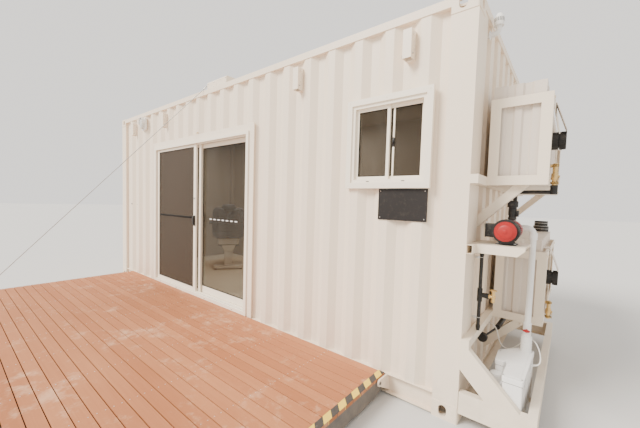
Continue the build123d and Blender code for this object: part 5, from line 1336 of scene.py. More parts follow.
@dataclass(frozen=True)
class Leaf:
    """One framed pane of the door: sides, face and thickness of its frame, and stile, rail and head."""

    left: float
    right: float
    front: float
    thick: float
    sash: Triple
    low: float = 220.0
    high: float = 2225.0

    @property
    def middle(self) -> float:
        """Depth of the pane."""
        return self.front + self.thick / 2

    def glass(self) -> tuple[tuple[float, float], tuple[float, float]]:
        """X and Z of the low and the high corner of what the leaf frames."""
        stile, rail, head = self.sash
        return (self.left + stile, self.low + rail), (self.right - stile, self.high - head)


@dataclass
class SlidingDoor:
    """Insect screen, fixed pane and sliding pane: seals, middle rail, handles, marks and screws."""

    site: Site
    screen: Leaf = Leaf(1465.0, 2620.0, 8.0, 24.0, (58.0, 50.0, 30.0))
    fixed: Leaf = Leaf(1460.0, 2686.0, 41.0, 22.0, (44.0, 44.0, 44.0))
    slider: Leaf = Leaf(2622.0, 3715.0, 70.0, 26.0, (60.0, 85.0, 55.0))
    midrail: float = 1232.0
    pane: float = 6.0
    mark: Triple = (50.0, 92.0, 14.0)

    def _seal(self, name: str, leaf: Leaf, half: float, body: str, slot: str) -> None:
        """Lays a rubber seal on both faces of a pane, which has half its thickness before its middle.

        Args:
            name: piece's name.
            leaf: sizes of the leaf.
            half: half of the pane's thickness.
            body: body that it belongs to.
            slot: its slot.
        """
        seal = Shaper(self.site.wall)
        for near in (leaf.middle - half - 3.0, leaf.middle + half):
            seal.border(*leaf.glass(), 6.0, near, near + 3.0)
        seal.piece(name, RUBBER, slot, body)

    def _screen(self) -> None:
        """Makes the dark middle rail, the pull handle and the lock of the insect screen."""
        rail, handle, lock = (Shaper(self.site.wall) for _ in range(3))
        (left, _), (right, _) = self.screen.glass()
        middle, face = self.screen.middle, self.screen.front
        rail.block((left - 0.5, middle - 5.5, self.midrail - 11), (right + 0.5, middle + 5.5, self.midrail + 11), 3.0)
        rail.piece("screen_middle_rail", RUBBER, "screen_mesh", "screen_door")
        x = (right + self.screen.right) / 2
        handle.block((x - 15, face - 4, 1124), (x + 15, face + 0.5, 1266), 2.0)
        grip = ((3, 1128), (3, 1262), (17, 1262), (31, 1236), (31, 1154), (17, 1128))
        handle.prism([(x - 13.6, face - out, z) for out, z in grip], (27.2, 0.0, 0.0), 4.0)
        handle.piece("screen_handle", BLACK_PLASTIC, "screen_door_frame", "screen_door")
        lock.turned((x, face + 0.5, 1498), FRONT,
                    [(0.0, 14.0), (4.0, 14.0), (5.0, 11.5), (10.0, 10.5), (11.5, 9.0)], 24)
        lock.block((x - 1.1, face - 12.0, 1491), (x + 1.1, face - 9.0, 1505))
        lock.piece("screen_lock", STEEL, "screen_door_frame", "screen_door")

    def _slider(self) -> None:
        """Makes the marks on the glass and the inner handle of the sliding leaf."""
        marks, handle = Shaper(self.site.wall), Shaper(self.site.wall)
        dash, pitch, high = self.mark
        face = self.slider.middle - self.pane / 2
        for i in range(7):
            x = 2846.0 + i * pitch
            marks.block((x, face - 0.8, 1222), (x + dash, face + 0.2, 1222 + high))
        marks.piece("glass_marks", MARK_FILM, "sliding_door_pane", "sliding_door")
        x, back = self.slider.left + self.slider.sash[0] * 0.62, self.slider.front + self.slider.thick
        for z in (1110.0, 1290.0):
            handle.rod((x, back - 1, z), (x, back + 24, z), 6.0, 14)
        handle.swept([(x, back + 24, z) for z in (1094, 1098, 1302, 1306)], [4.0, 7.5, 7.5, 4.0], 14)
        handle.piece("inner_handle", BLACK_PLASTIC, "sliding_door_frame", "sliding_door")

    def build(self) -> None:
        """Makes the door's pieces, the screws of its trim, and dark strips as painted shade in the threshold's slots
        and track grooves.
        """
        self._seal("screen_spline", self.screen, 1.5, "screen_door", "screen_door_frame")
        self._seal("slider_seal", self.slider, self.pane / 2, "sliding_door", "sliding_door_frame")
        self._seal("fixed_seal", self.fixed, self.pane / 2, "container", "door_frame")
        self._screen()
        self._slider()
        spots = [(x, -4.2, 300.0 + 380.0 * i) for i in range(6) for x in (1380.0, 3800.0)]
        spots += [(1560.0 + 410.0 * i, -4.2, 2305.0) for i in range(6)]
        repeat("trim_screws", Head.DOME, self.site.wall, facing(spots), TRIM_PAINT, (8.0, 2.0))
        # Painted shade: dark strips stand in for the shade inside the drain slots and the track's grooves.
        slots = Shaper(self.site.wall)
        for x in (1640.0, 2140.0, 2900.0, 3500.0):
            slots.block((x - 16, -20.4, 186), (x + 16, -18.0, 191), 0.6)
        for depth in (12.0, 30.0):
            slots.block((2640, depth - 1.5, 214.8), (3712, depth + 1.5, 215.4))
        slots.piece("threshold_slot_shadows", RUBBER, "door_frame")


@dataclass
class Deck:
    """Folding deck: reeded boards side by side, their screws and the striped edge."""

    site: Site
    thick: float = 25.0
    pitch: float = 90.0
    count: int = 26
    joint: float = 6.0
    reed: float = 6.0
    reed_deep: float = 0.7
    joists: int = 8
    end_screw: float = 35.0
    strip: float = 52.0
    strip_thick: float = 3.0

    def _profile(self) -> bpy.types.Curve:
        """Draws one board's end, with rounded corners and fine reeds on top.

        Returns:
            A closed curve of its outline.
        """
        wide, high = self.pitch - self.joint, self.thick
        reeds = int((wide - 6.0) // self.reed)
        start = (wide - reeds * self.reed) / 2
        points = [(0.0, 2.0), (0.0, high - 2.0), (0.8, high - 0.6), (2.0, high)]
        for edge in (start + i * self.reed for i in range(reeds)):
            points += [(edge + 0.6, high), (edge + self.reed * 0.58, high),
                       (edge + self.reed * 0.68, high - self.reed_deep),
                       (edge + self.reed * 0.92, high - self.reed_deep)]
        points += [(wide - 2.0, high), (wide - 0.8, high - 0.6), (wide, high - 2.0), (wide, 2.0),
                   (wide - 1.0, 0.0), (1.0, 0.0)]
        curve = bpy.data.curves.new("board_outline", "CURVE")
        spline = curve.splines.new("POLY")
        spline.points.add(len(points) - 1)
        for control, (across, up) in zip(spline.points, points):
            control.co = (across * MM, up * MM, 0.0, 1.0)
        spline.use_cyclic_u = True
        return curve

    def _boards(self) -> None:
        """Lays the boards over the deck's frame."""
        low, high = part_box("deck_boards")
        sizes = {"Length": high[0] - low[0], "Pitch": (high[1] - low[1]) / self.count, "Count": self.count}
        data = BoardRow().made("deck_planks", self._profile(), deck_finish(), sizes)
        corner_low = Vector([min(vertex.co[i] for vertex in data.vertices) for i in range(3)])
        data.polygons.foreach_set("use_smooth", [False] * len(data.polygons))
        shift = Vector((low[0], low[1] + self.joint * MM / 2, high[2] - self.thick * MM)) - corner_low
        data.transform(Matrix.Translation(shift))
        place_piece("deck_planks", data, deck_finish(), "deck", "deck_boards")

    def build(self) -> None:
        """Makes the boards, two screws in each over every joist, a dark sheet under the joints as painted shade, and
        the strip.
        """
        self._boards()
        low, high = self.site.box("deck_boards")
        long, top = high[0] - low[0], high[2]
        rows = [low[0] + self.end_screw, *(low[0] + long * (i + 1) / (self.joists + 1) for i in range(self.joists)),
                high[0] - self.end_screw]
        spots = [(x, low[1] + (i + share) * self.pitch, top - 0.2) for i in range(self.count) for x in rows
                 for share in (0.25, 0.75)]
        repeat("deck_screws", Head.DOME, self.site.wall, facing(spots, UP, RIGHT), STEEL, (8.0, 0.8),
               "deck")
        shade, strip = Shaper(self.site.wall), Shaper(self.site.wall)
        # Painted shade: a dark sheet under the boards darkens the joints between them.
        shade.block((low[0] + 4, low[1] + 4, top - 18), (high[0] - 4, high[1] - 4, top - 10))
        shade.piece("deck_joint_shadow", RUBBER, "deck_boards", "deck")
        outline = ((-self.strip, 0.2), (-self.strip, self.strip_thick), (-0.2, self.strip_thick), (-0.2, -40.0),
                   (-self.strip_thick, -40.0), (-self.strip_thick, 0.2))
        strip.prism([(high[0] + x, low[1] + 2, top + z) for x, z in outline], (0.0, high[1] - low[1] - 4, 0.0))
        strip.piece("deck_edge_strip", HazardBands("edge_bands"), "deck_frame", "deck")


@dataclass
class StayEnds:
    """Pressed sleeve at the winch and the pin of the lug at both ends of the taut stay."""

    site: Site
    low: Triple = (544.0, -1816.0, 204.0)
    high: Triple = (2847.0, 30.0, 2950.0)
    sleeve: float = 60.0

    def build(self) -> None:
        """Makes the sleeve at the winch and the pin at the deck."""
        a, b = Vector(self.low), Vector(self.high)
        way = (b - a).normalized()
        lower, upper = Shaper(self.site.wall), Shaper(self.site.wall)
        form = [(0.0, 4.6), (3.0, 7.5), (self.sleeve - 6.0, 7.5), (self.sleeve, 4.6)]
        upper.turned(b - way * (self.sleeve + 12.0), way, form, 20)
        upper.piece("winch_sleeve", STEEL, "roof_winch")
        lower.rod(a + Vector((-13.5, 0, -16)), a + Vector((15.5, 0, -16)), 6.0, 16, 1.0)
        lower.piece("lug_pin", STEEL, "deck_frame", "deck")


@dataclass
class TankRack:
    """Water tanks in their cages: caps, valves' handles, bolts, bands and elbows."""

    site: Site
    tanks: tuple[tuple[float, float], ...] = ((270.0, 1653.0), (800.0, 560.0))
    cage_out: float = 400.0
    cage_back: float = 2168.0
    cap_radius: float = 63.0
    cap_x: float = 470.0
    cap_at: tuple[tuple[float, float], ...] = ((645.0, 1992.0), (1175.0, 899.0))
    cap_face: Profile = ((-2.0, 60.5), (0.0, 60.5), (-1.5, 54.0), (-5.5, 52.0), (-6.0, 18.0), (-3.0, 16.0),
                         (-2.5, 12.0))
    grip: Profile = ((0.0, -6.0), (6.0, -10.0), (50.0, -10.0), (60.0, -4.0), (60.0, 6.0), (50.0, 10.0),
                     (6.0, 10.0), (0.0, 6.0))
    hoops: Profile = ((2.0, 73.0), (34.0, 73.2), (64.0, 73.0), (96.0, 63.4))

    def _caps(self) -> None:
        """Makes the ribbed black filler caps and the ribs on their faces."""
        ribs, caps = [], Shaper(self.site.rack)
        for y, z in self.cap_at:
            centre = Vector((self.cap_x, y, z))
            for way in (spoke(turn, "X") for turn in turns(36)):
                ribs.append((centre + way * (self.cap_radius - 1.2) - Vector((18.0, 0, 0)), way, RIGHT))
            caps.turned(centre, RIGHT, self.cap_face, 48)
            for way in (spoke(turn, "X") for turn in turns(6)):
                spot = centre + way * 36.0 - Vector((3.5, 0, 0))
                across = Vector((0.0, -way.z, way.y)) * 2.2
                caps.prism([spot - across - way * 15.0, spot + across - way * 15.0, spot + across + way * 14.0,
                            spot - across + way * 14.0], (3.4, 0.0, 0.0))
        repeat("cap_ribs", Head.BAR, self.site.rack, ribs, BLACK_PLASTIC, (4.2, 4.0, 26.0))
        caps.piece("cap_faces", BLACK_PLASTIC, "filler_caps")

    def _valves(self) -> None:
        """Makes the valves' handles, hexagons (each twice in one place) and glands."""
        brass, handles = Shaper(self.site.rack), Shaper(self.site.rack)
        for depth, base in self.tanks:
            x, y, z = self.cage_out + 22.5, depth + 240.0, base + 70.0
            for rise in (-52.0, -52.0, 68.0, 68.0):
                brass.nut((x, y, z + rise), 22.8, 16.0)
            brass.rod((x + 2.5, y, z), (x + 22.5, y, z), 7.5, 14)
            brass.nut((x + 18.5, y, z), 8.5, 6.0, RIGHT)
            handles.prism([(x + 23.0, y + across, z - down + 4.0) for down, across in self.grip], (3.5, 0.0, 0.0), 1.2)
        brass.piece("valve_bodies", BRASS, "brass_valves")
        handles.piece("valve_handles", BRASS, "brass_valves")

    def _bolts(self) -> None:
        """Sets the bolts of the cages, the braces and the beams."""
        spots = []
        for depth, base in self.tanks:
            spots += facing(((self.cage_out, y, z) for y in (depth + 32.0, self.cage_back - 32.0)
                             for z in (base + 28.0, base + 562.0)), RIGHT)
        for y, base in ((319.0, 1653.0), (2069.0, 1653.0), (819.0, 560.0), (2069.0, 560.0)):
            spots += facing([(20.0, y, base - 180.0), (250.0, y, base - 26.0)], FRONT, RIGHT)
        repeat("rack_bolts", Head.HEXAGON, self.site.rack, spots, RACK_PAINT, (14.0, 8.0), seed=11)

    def build(self) -> None:
        """Makes the rack's pieces, with the rings round each lid and the white elbow by the cap."""
        self._caps()
        self._valves()
        self._bolts()
        fittings = Shaper(self.site.rack)
        for depth, base in self.tanks:
            for rise, radius in self.hoops:
                fittings.hoop((274.0, 2038.0, base + 684.0 + rise), radius, 1.5, 40)
            cap = Vector((404.0, depth + 453.0, base + 320.0))
            bend = [cap + Vector(step) for step in ((0, 0, 28), (0, 0, 0), (4, 4, -14), (14, 14, -20), (30, 20, -20))]
            fittings.swept(bend, [13.0, 13.0, 13.5, 13.0, 13.0], 16)
            fittings.turned(bend[-1], (1.0, 0.4, 0.0), [(0.0, 16.5), (10.0, 16.5), (11.0, 14.0), (3.0, 9.0)], 20)
        fittings.piece("tank_fittings", WHITE_PLASTIC, "tank_lids")


@dataclass
class WaterPump:
    """Pump on its shelf: red fan cover with rings, dark finned motor, pump head and control."""

    site: Site
    axis_x: float = 195.0
    axis_z: float = 1338.0
    shelf: float = 1245.0
    front: float = 123.0
    shield_at: float = 165.0
    body_at: float = 177.0
    head_at: float = 317.0
    head_end: float = 441.0
    body_radius: float = 68.0
    fin_radius: float = 78.0
    fins: int = 36
    head_radius: float = 70.0
    control_y: float = 414.0
    feet: tuple[float, float] = (198.0, 276.0)
    control: Profile = ((0.0, 20.0), (20.0, 20.0), (20.2, 27.0), (34.0, 27.0), (34.2, 23.5), (50.0, 23.5),
                        (50.2, 27.0), (96.0, 27.0), (98.0, 25.0), (106.5, 25.0), (108.0, 34.0), (148.0, 34.0),
                        (152.5, 30.0), (154.0, 22.0), (154.0, 0.5))

    def _axis(self, y: float) -> Vector:
        """Point on the motor's axis."""
        return Vector((self.axis_x, y, self.axis_z))

    def _lathe(self, name: str, finish: Finish, profile: Profile, sides: int, replaced: str = "") -> None:
        """Makes one turned part of the pump.

        Args:
            name: piece's name.
            finish: finish that it wears.
            profile: depth from the front and radius of each ring.
            sides: steps round the axis.
            replaced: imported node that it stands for.
        """
        shape = Shaper(self.site.rack)
        start = profile[0][0]
        shape.turned(self._axis(start), BACK, [(y - start, radius) for y, radius in profile], sides)
        shape.piece(name, finish, "water_pump", replaced=replaced)

    def _ribs(self, name: str, y: float, radius: float, ways: Iterable[Vector], finish: Finish,
              sizes: Triple) -> None:
        """Makes bars along the axis round the pump.

        Args:
            name: piece's name.
            y: depth of their middle.
            radius: distance from the axis.
            ways: their outward directions.
            finish: finish that they wear.
            sizes: width, height and length of a bar.
        """
        spots = [(self._axis(y) + way * radius, way, BACK) for way in ways]
        repeat(name, Head.BAR, self.site.rack, spots, finish, sizes)

    def _cover(self) -> None:
        """Makes the red domed cover with its rings, its slots and the black shield behind."""
        front, shield, body = self.front, self.shield_at, self.body_at
        face = [(front, 0.5), (front, 38.0), (front + 1.5, 41.0)]
        for radius, depth in ((42.5 + i * 4.2, front + 2.2 + i * 2.4) for i in range(5)):
            face += [(depth, radius), (depth, radius + 1.9), (depth + 2.2, radius + 2.1), (depth + 2.2, radius + 4.0)]
        face += [(front + 14.0, 64.0), (front + 18.0, 66.0), (shield, 66.0), (shield, 40.0)]
        self._lathe("pump_cover", RED_PAINT, face, 96, "water_pump")
        self._lathe("cover_boss", RED_PAINT, [(119.0, 0.4), (119.0, 9.0), (120.2, 12.4), (124.0, 13.0), (126.0, 13.0)],
                    40)
        self._ribs("cover_slots", 152.0, 66.0, [spoke(turn, "Y") for turn in turns(40)], BLACK_PLASTIC,
                   (4.5, 0.8, 18.0))
        self._lathe("motor_shield", BLACK_PLASTIC, [
            (shield - 4.0, 66.0), (shield - 4.0, 80.0), (shield - 2.0, 82.0), (body - 1.0, 82.0), (body, 80.0),
            (body, 60.0)], 72)

    def _motor(self) -> None:
        """Makes the finned body, with fins all round but at the terminal box."""
        start, end = self.body_at, self.head_at
        self._lathe("motor_body", MOTOR_PAINT, [(start, 60.0), (start, self.body_radius), (end, self.body_radius),
                                                (end, 60.0)], 72)
        ways = [spoke(turn, "Y") for turn in turns(self.fins, 0.04)]
        ways = [way for way in ways if not (way.x < -0.35 and abs(way.z) < 0.8)]
        self._ribs("motor_fins", (start + end) / 2 - 4.0, self.fin_radius - 6.0, ways, MOTOR_PAINT,
                   (2.4, 11.0, 120.0))

    def _carriers(self) -> None:
        """Makes the terminal box and the motor's feet with their bolts."""
        box, feet = Shaper(self.site.rack), Shaper(self.site.rack)
        for low, high, soften in (((71.0, 184.0, 1292.0), (152.0, 280.0, 1384.0), 6.0),
                                  ((67.0, 179.0, 1290.5), (76.0, 282.0, 1386.0), 4.0),
                                  ((120.0, 200.0, 1306.0), (150.0, 262.0, 1370.0), 3.0)):
            box.block(low, high, soften)
        for z in (1304.0, 1330.0):
            box.turned((88.0, 187.0, z), FRONT, [(0.0, 10.5), (4.0, 10.5), (4.5, 8.0), (7.5, 7.5)], 18)
        box.piece("terminal_box", BLACK_PLASTIC, "water_pump")
        x, z = self.axis_x, self.shelf
        for y in self.feet:
            feet.block((x - 60, y, z + 0.3), (x + 60, y + 26, z + 8), 1.5)
            feet.prism([(x + a, y + 9, z + b) for a, b in ((-46, 7), (46, 7), (28, 42), (-28, 42))],
                       (0.0, 8.0, 0.0), 1.0)
        feet.piece("motor_feet", MOTOR_PAINT, "water_pump")
        bolts = facing(((x + a, y + 13, z + 8) for a in (-50, 50) for y in self.feet), UP, RIGHT)
        repeat("foot_bolts", Head.HEXAGON, self.site.rack, bolts, STEEL, (12.0, 6.0))

    def _head(self) -> None:
        """Makes the pump head with its bolted flange, and the control on top."""
        at, end, radius = self.head_at, self.head_end, self.head_radius
        self._lathe("pump_head", RED_PAINT, [
            (at - 6, 60.0), (at - 6, 74.0), (at + 8, 74.0), (at + 10, radius), (at + 52, radius), (at + 56, 66.0),
            (at + 64, 66.0), (at + 68, radius), (end - 14, radius), (end - 4, 60.0), (end, 48.0), (end, 0.5)], 72)
        ways = [spoke(turn, "Y") for turn in turns(8, 0.39)]
        bolts = [(self._axis(at + 8.0) + way * 71.0, BACK, way) for way in ways]
        repeat("head_bolts", Head.HEXAGON, self.site.rack, bolts, STEEL, (8.0, 6.0))
        control = Shaper(self.site.rack)
        x, y, z = self.axis_x, self.control_y, self.axis_z
        control.turned((x, y, z + 56.0), UP, self.control, 40)
        control.turned((x, y - 33.0, z + 186.0), FRONT, [(0.0, 19.0), (3.0, 19.0), (3.5, 16.0), (4.5, 16.0)], 32)
        control.block((x + 24, y - 19, z + 96), (x + 40, y + 19, z + 140), 3.0)
        control.piece("pressure_control", BLACK_PLASTIC, "water_pump")

    def build(self) -> None:
        """Makes the pump's pieces."""
        self._cover()
        self._motor()
        self._carriers()
        self._head()


@dataclass
class ServicePipes:
    """Clips, unions and nuts on the black pipes, the tap's wheel and the waste pipe's collars."""

    site: Site
    feed: tuple[float, float] = (45.0, 250.0)
    tee_z: float = 865.0
    tap_x: float = 131.0
    waste: tuple[float, float] = (318.0, 570.0)
    drain_cap: Profile = ((0.0, 34.5), (3.0, 35.5), (10.0, 35.5), (12.0, 34.5), (20.0, 34.5), (22.0, 35.5),
                          (30.0, 35.5), (33.0, 34.5))

    def _black(self) -> None:
        """Makes nuts, clips and collars of the black pipes."""
        black, steel = Shaper(self.site.rack), Shaper(self.site.rack)
        x, y = self.feed
        for z, radius, high in ((self.tee_z - 47, 19.0, 26.0), (self.tee_z + 21, 19.0, 26.0), (620, 16.5, 24.0),
                                (1148, 16.5, 24.0)):
            black.nut((x, y, z), radius, high)
        black.turned((82, y, self.tee_z), RIGHT, [(0.0, 16.0), (1.0, 19.0), (20.0, 19.0), (21.0, 16.0)], 10)
        for z in (1137.0, 700.0):
            steel.block((1.0, y - 13, z - 9), (x - 10, y - 9, z + 9), 1.0)
            steel.hoop((x, y, z), 13.6, 2.2)
        black.turned((38, 462, 476), BACK, self.drain_cap, 30)
        black.piece("pipe_nuts", BLACK_PLASTIC, "black_pipes")
        steel.piece("pipe_clips", STEEL, "black_pipes")

    def _tap(self) -> None:
        """Makes the brass tap's nuts and its wheel."""
        brass, wheel = Shaper(self.site.rack), Shaper(self.site.rack)
        x, y, z = self.tap_x, self.feed[1], self.tee_z
        brass.nut((103.0, y, z), 15.0, 12.0, RIGHT)
        brass.nut((135.0, y, z), 14.0, 10.0, RIGHT)
        brass.rod((x, y, z + 10), (x, y, z + 46), 4.5, 14)
        brass.turned((x, y, z - 27), (0.0, 0.0, -1.0), [(0.0, 12.5), (10.0, 12.5), (10.5, 10.0), (13.5, 10.0)], 20)
        brass.piece("tap_nuts", BRASS, "brass_valves")
        hub = Vector((x, y, z + 45))
        wheel.hoop(hub, 21.0, 3.4, sides=8)
        for turn in turns(3):
            wheel.rod(hub, hub + spoke(turn, length=20.0), 2.4, 8)
        wheel.turned((x, y, z + 41), UP, [(0.0, 7.0), (9.0, 7.0), (10.0, 5.0)], 16)
        wheel.piece("tap_wheel", BRASS, "brass_valves")

    def _waste(self) -> None:
        """Makes the waste pipe's collars and wall flange, the coupling's rings and the valve's red grip."""
        white, grip = Shaper(self.site.rack), Shaper(self.site.rack)
        x, y = self.waste
        for z, radius, high in ((1266, 27.0, 8), (1308, 27.0, 8), (628, 27.5, 12), (534, 27.5, 12)):
            white.rod((x, y, z), (x, y, z + high), radius, 36, 1.0)
        for z in (430.0, 452.0, 474.0, 496.0, 518.0):
            white.hoop((x, y, z), 35.4, 2.2, 40, 8)
        white.turned((-1.0, y, 1350), RIGHT, [(0.0, 36.0), (5.0, 36.0), (8.0, 30.0), (9.0, 23.5)], 36)
        white.piece("waste_collars", WHITE_PLASTIC, "waste_pipe")
        stem = (x, y - 25.0, 588.0)
        grip.rod(stem, (x, y - 41.0, 588.0), 10.0, 16, 1.0)
        outline = ((-24.0, 4.0), (-18.0, -6.0), (0.0, -11.0), (18.0, -6.0), (24.0, 4.0), (0.0, 13.0))
        grip.prism([(x + a, y - 41.0, 588.0 + b) for a, b in outline], (0.0, -9.0, 0.0), 2.0)
        grip.piece("waste_valve_grip", RED_PAINT, "waste_pipe")

    def build(self) -> None:
        """Makes the pipes' pieces."""
        self._black()
        self._tap()
        self._waste()


@dataclass
class WasteBox:
    """White waste box: lid screws, ribs, latches and the outlet's collars."""

    site: Site
    outline: Profile = ((241, 56), (353, 56), (366, 612), (279, 612), (158, 457), (166, 275), (215, 275), (241, 360))
    lid: Profile = ((258, 84), (337, 84), (347, 572), (290, 572), (262, 530))
    screwed: int = 5
    low: float = 94.0
    seam: float = 386.0
    top: float = 420.0
    outlet: tuple[float, float] = (179.0, 232.0)
    middle: tuple[float, float] = (275.0, 330.0)

    def _side(self, y: float) -> float:
        """X of the box's outer side at a depth."""
        return 356.0 + (y - 56.0) * 13.0 / 556.0

    def build(self) -> None:
        """Makes the lid's panel, a dark ring as painted shade in the lid's seam, the screws, the latches and the
        outlet's rings.
        """
        panel, seam, latches = (Shaper(self.site.rack) for _ in range(3))
        panel.prism([(x, y, self.top - 0.4) for x, y in self.lid], (0.0, 0.0, 2.4), 1.0)
        for y in (170.0, 300.0, 430.0):
            x = self._side(y)
            panel.block((x - 3.5, y - 3, self.low + 26), (x + 0.6, y + 3, self.seam - 16), 1.2)
        x, y = self.outlet
        for z, radius in ((240.0, 37.4), (286.0, 36.7), (328.0, 37.4)):
            panel.rod((x, y, z), (x, y, z + 7.0), radius, 40, 1.0)
        panel.turned((x, y, 328.0), UP, [(0.0, 35.5), (6.0, 36.5), (16.0, 36.5), (19.0, 34.0), (20.0, 20.0),
                                         (20.5, 0.5)], 40)
        panel.piece("waste_box_panel", BOX_PLASTIC, "waste_box")
        # Painted shade: a dark ring round the box stands in for the shade in the lid's seam.
        centre = Vector(self.middle)
        edge = [centre + (Vector(corner) - centre) * 1.005 for corner in self.outline]
        seam.prism([(spot.x, spot.y, self.seam - 3.5) for spot in edge], (0.0, 0.0, 3.5))
        seam.piece("waste_box_seam_shadow", RUBBER, "waste_box")
        for y in (140.0, 400.0):
            x = self._side(y) + 2.5
            latches.block((x - 1.0, y - 14, self.seam - 30), (x + 3.2, y + 14, self.seam + 12), 1.4)
            latches.block((x + 2.0, y - 9, self.seam - 34), (x + 6.0, y + 9, self.seam - 18), 1.4)
        latches.piece("waste_box_latches", BOX_PLASTIC, "waste_box")
        spots = []
        for corner in map(Vector, self.outline[:self.screwed]):
            spot = corner + (Vector((270.0, 330.0)) - corner).normalized() * 22.0
            spots.append((spot.x, spot.y, self.top))
        repeat("lid_screws", Head.DOME, self.site.rack, facing(spots, UP, RIGHT), STEEL, (11.0, 3.5))


@dataclass
class RoofVent:
    """White vent pipe with a slotted cowl on the end wall."""

    site: Site
    axis: tuple[float, float] = (50.0, 344.0)
    flange: Triple = (-6.0, 0.0, 2735.0)

    def build(self) -> None:
        """Makes the cowl's slots and the wall flange."""
        low, high = self.site.box("vent_cowl")
        cowl = Vector((*self.axis, high[2] - 50.0))
        slots = [(cowl + way * 31.8, way, UP) for way in (spoke(turn) for turn in turns(20))]
        repeat("vent_slots", Head.BAR, self.site.rack, slots, BLACK_PLASTIC, (4.0, 0.8, 26.0))
        flange = Shaper(self.site.rack)
        flange.turned((self.flange[0], (low[1] + high[1]) / 2, self.flange[2]), RIGHT,
                      [(0.0, 30.0), (4.0, 30.0), (6.0, 26.0), (7.0, 19.5)], 32)
        flange.piece("vent_flange", WHITE_PLASTIC, "vent_cowl")


def soft_outline(wide: float, tall: float, corner: float, dip: tuple[float, float] = (0.0, 0.0),
                 steps: int = 8) -> list[tuple[float, float]]:
    """Rounded rectangle round its middle, with a dip in the middle of its far side.

    Args:
        wide: size along the first axis.
        tall: size along the second.
        corner: radius of the corners.
        dip: half width and depth of the dip.
        steps: points round each corner.

    Returns:
        The outline in order.
    """
    points = []
    for i, (sx, sy) in enumerate(((1, 1), (-1, 1), (-1, -1), (1, -1))):
        centre = (sx * (wide / 2 - corner), sy * (tall / 2 - corner))
        for turn in (math.pi / 2 * (i + k / steps) for k in range(steps + 1)):
            points.append((centre[0] + corner * math.cos(turn), centre[1] + corner * math.sin(turn)))
        if i == 0 and dip[1]:
            for share in (1.0 - 2.0 * k / 12 for k in range(1, 12)):
                points.append((dip[0] * share, tall / 2 - dip[1] * math.cos(share * math.pi / 2) ** 1.2))
    return points


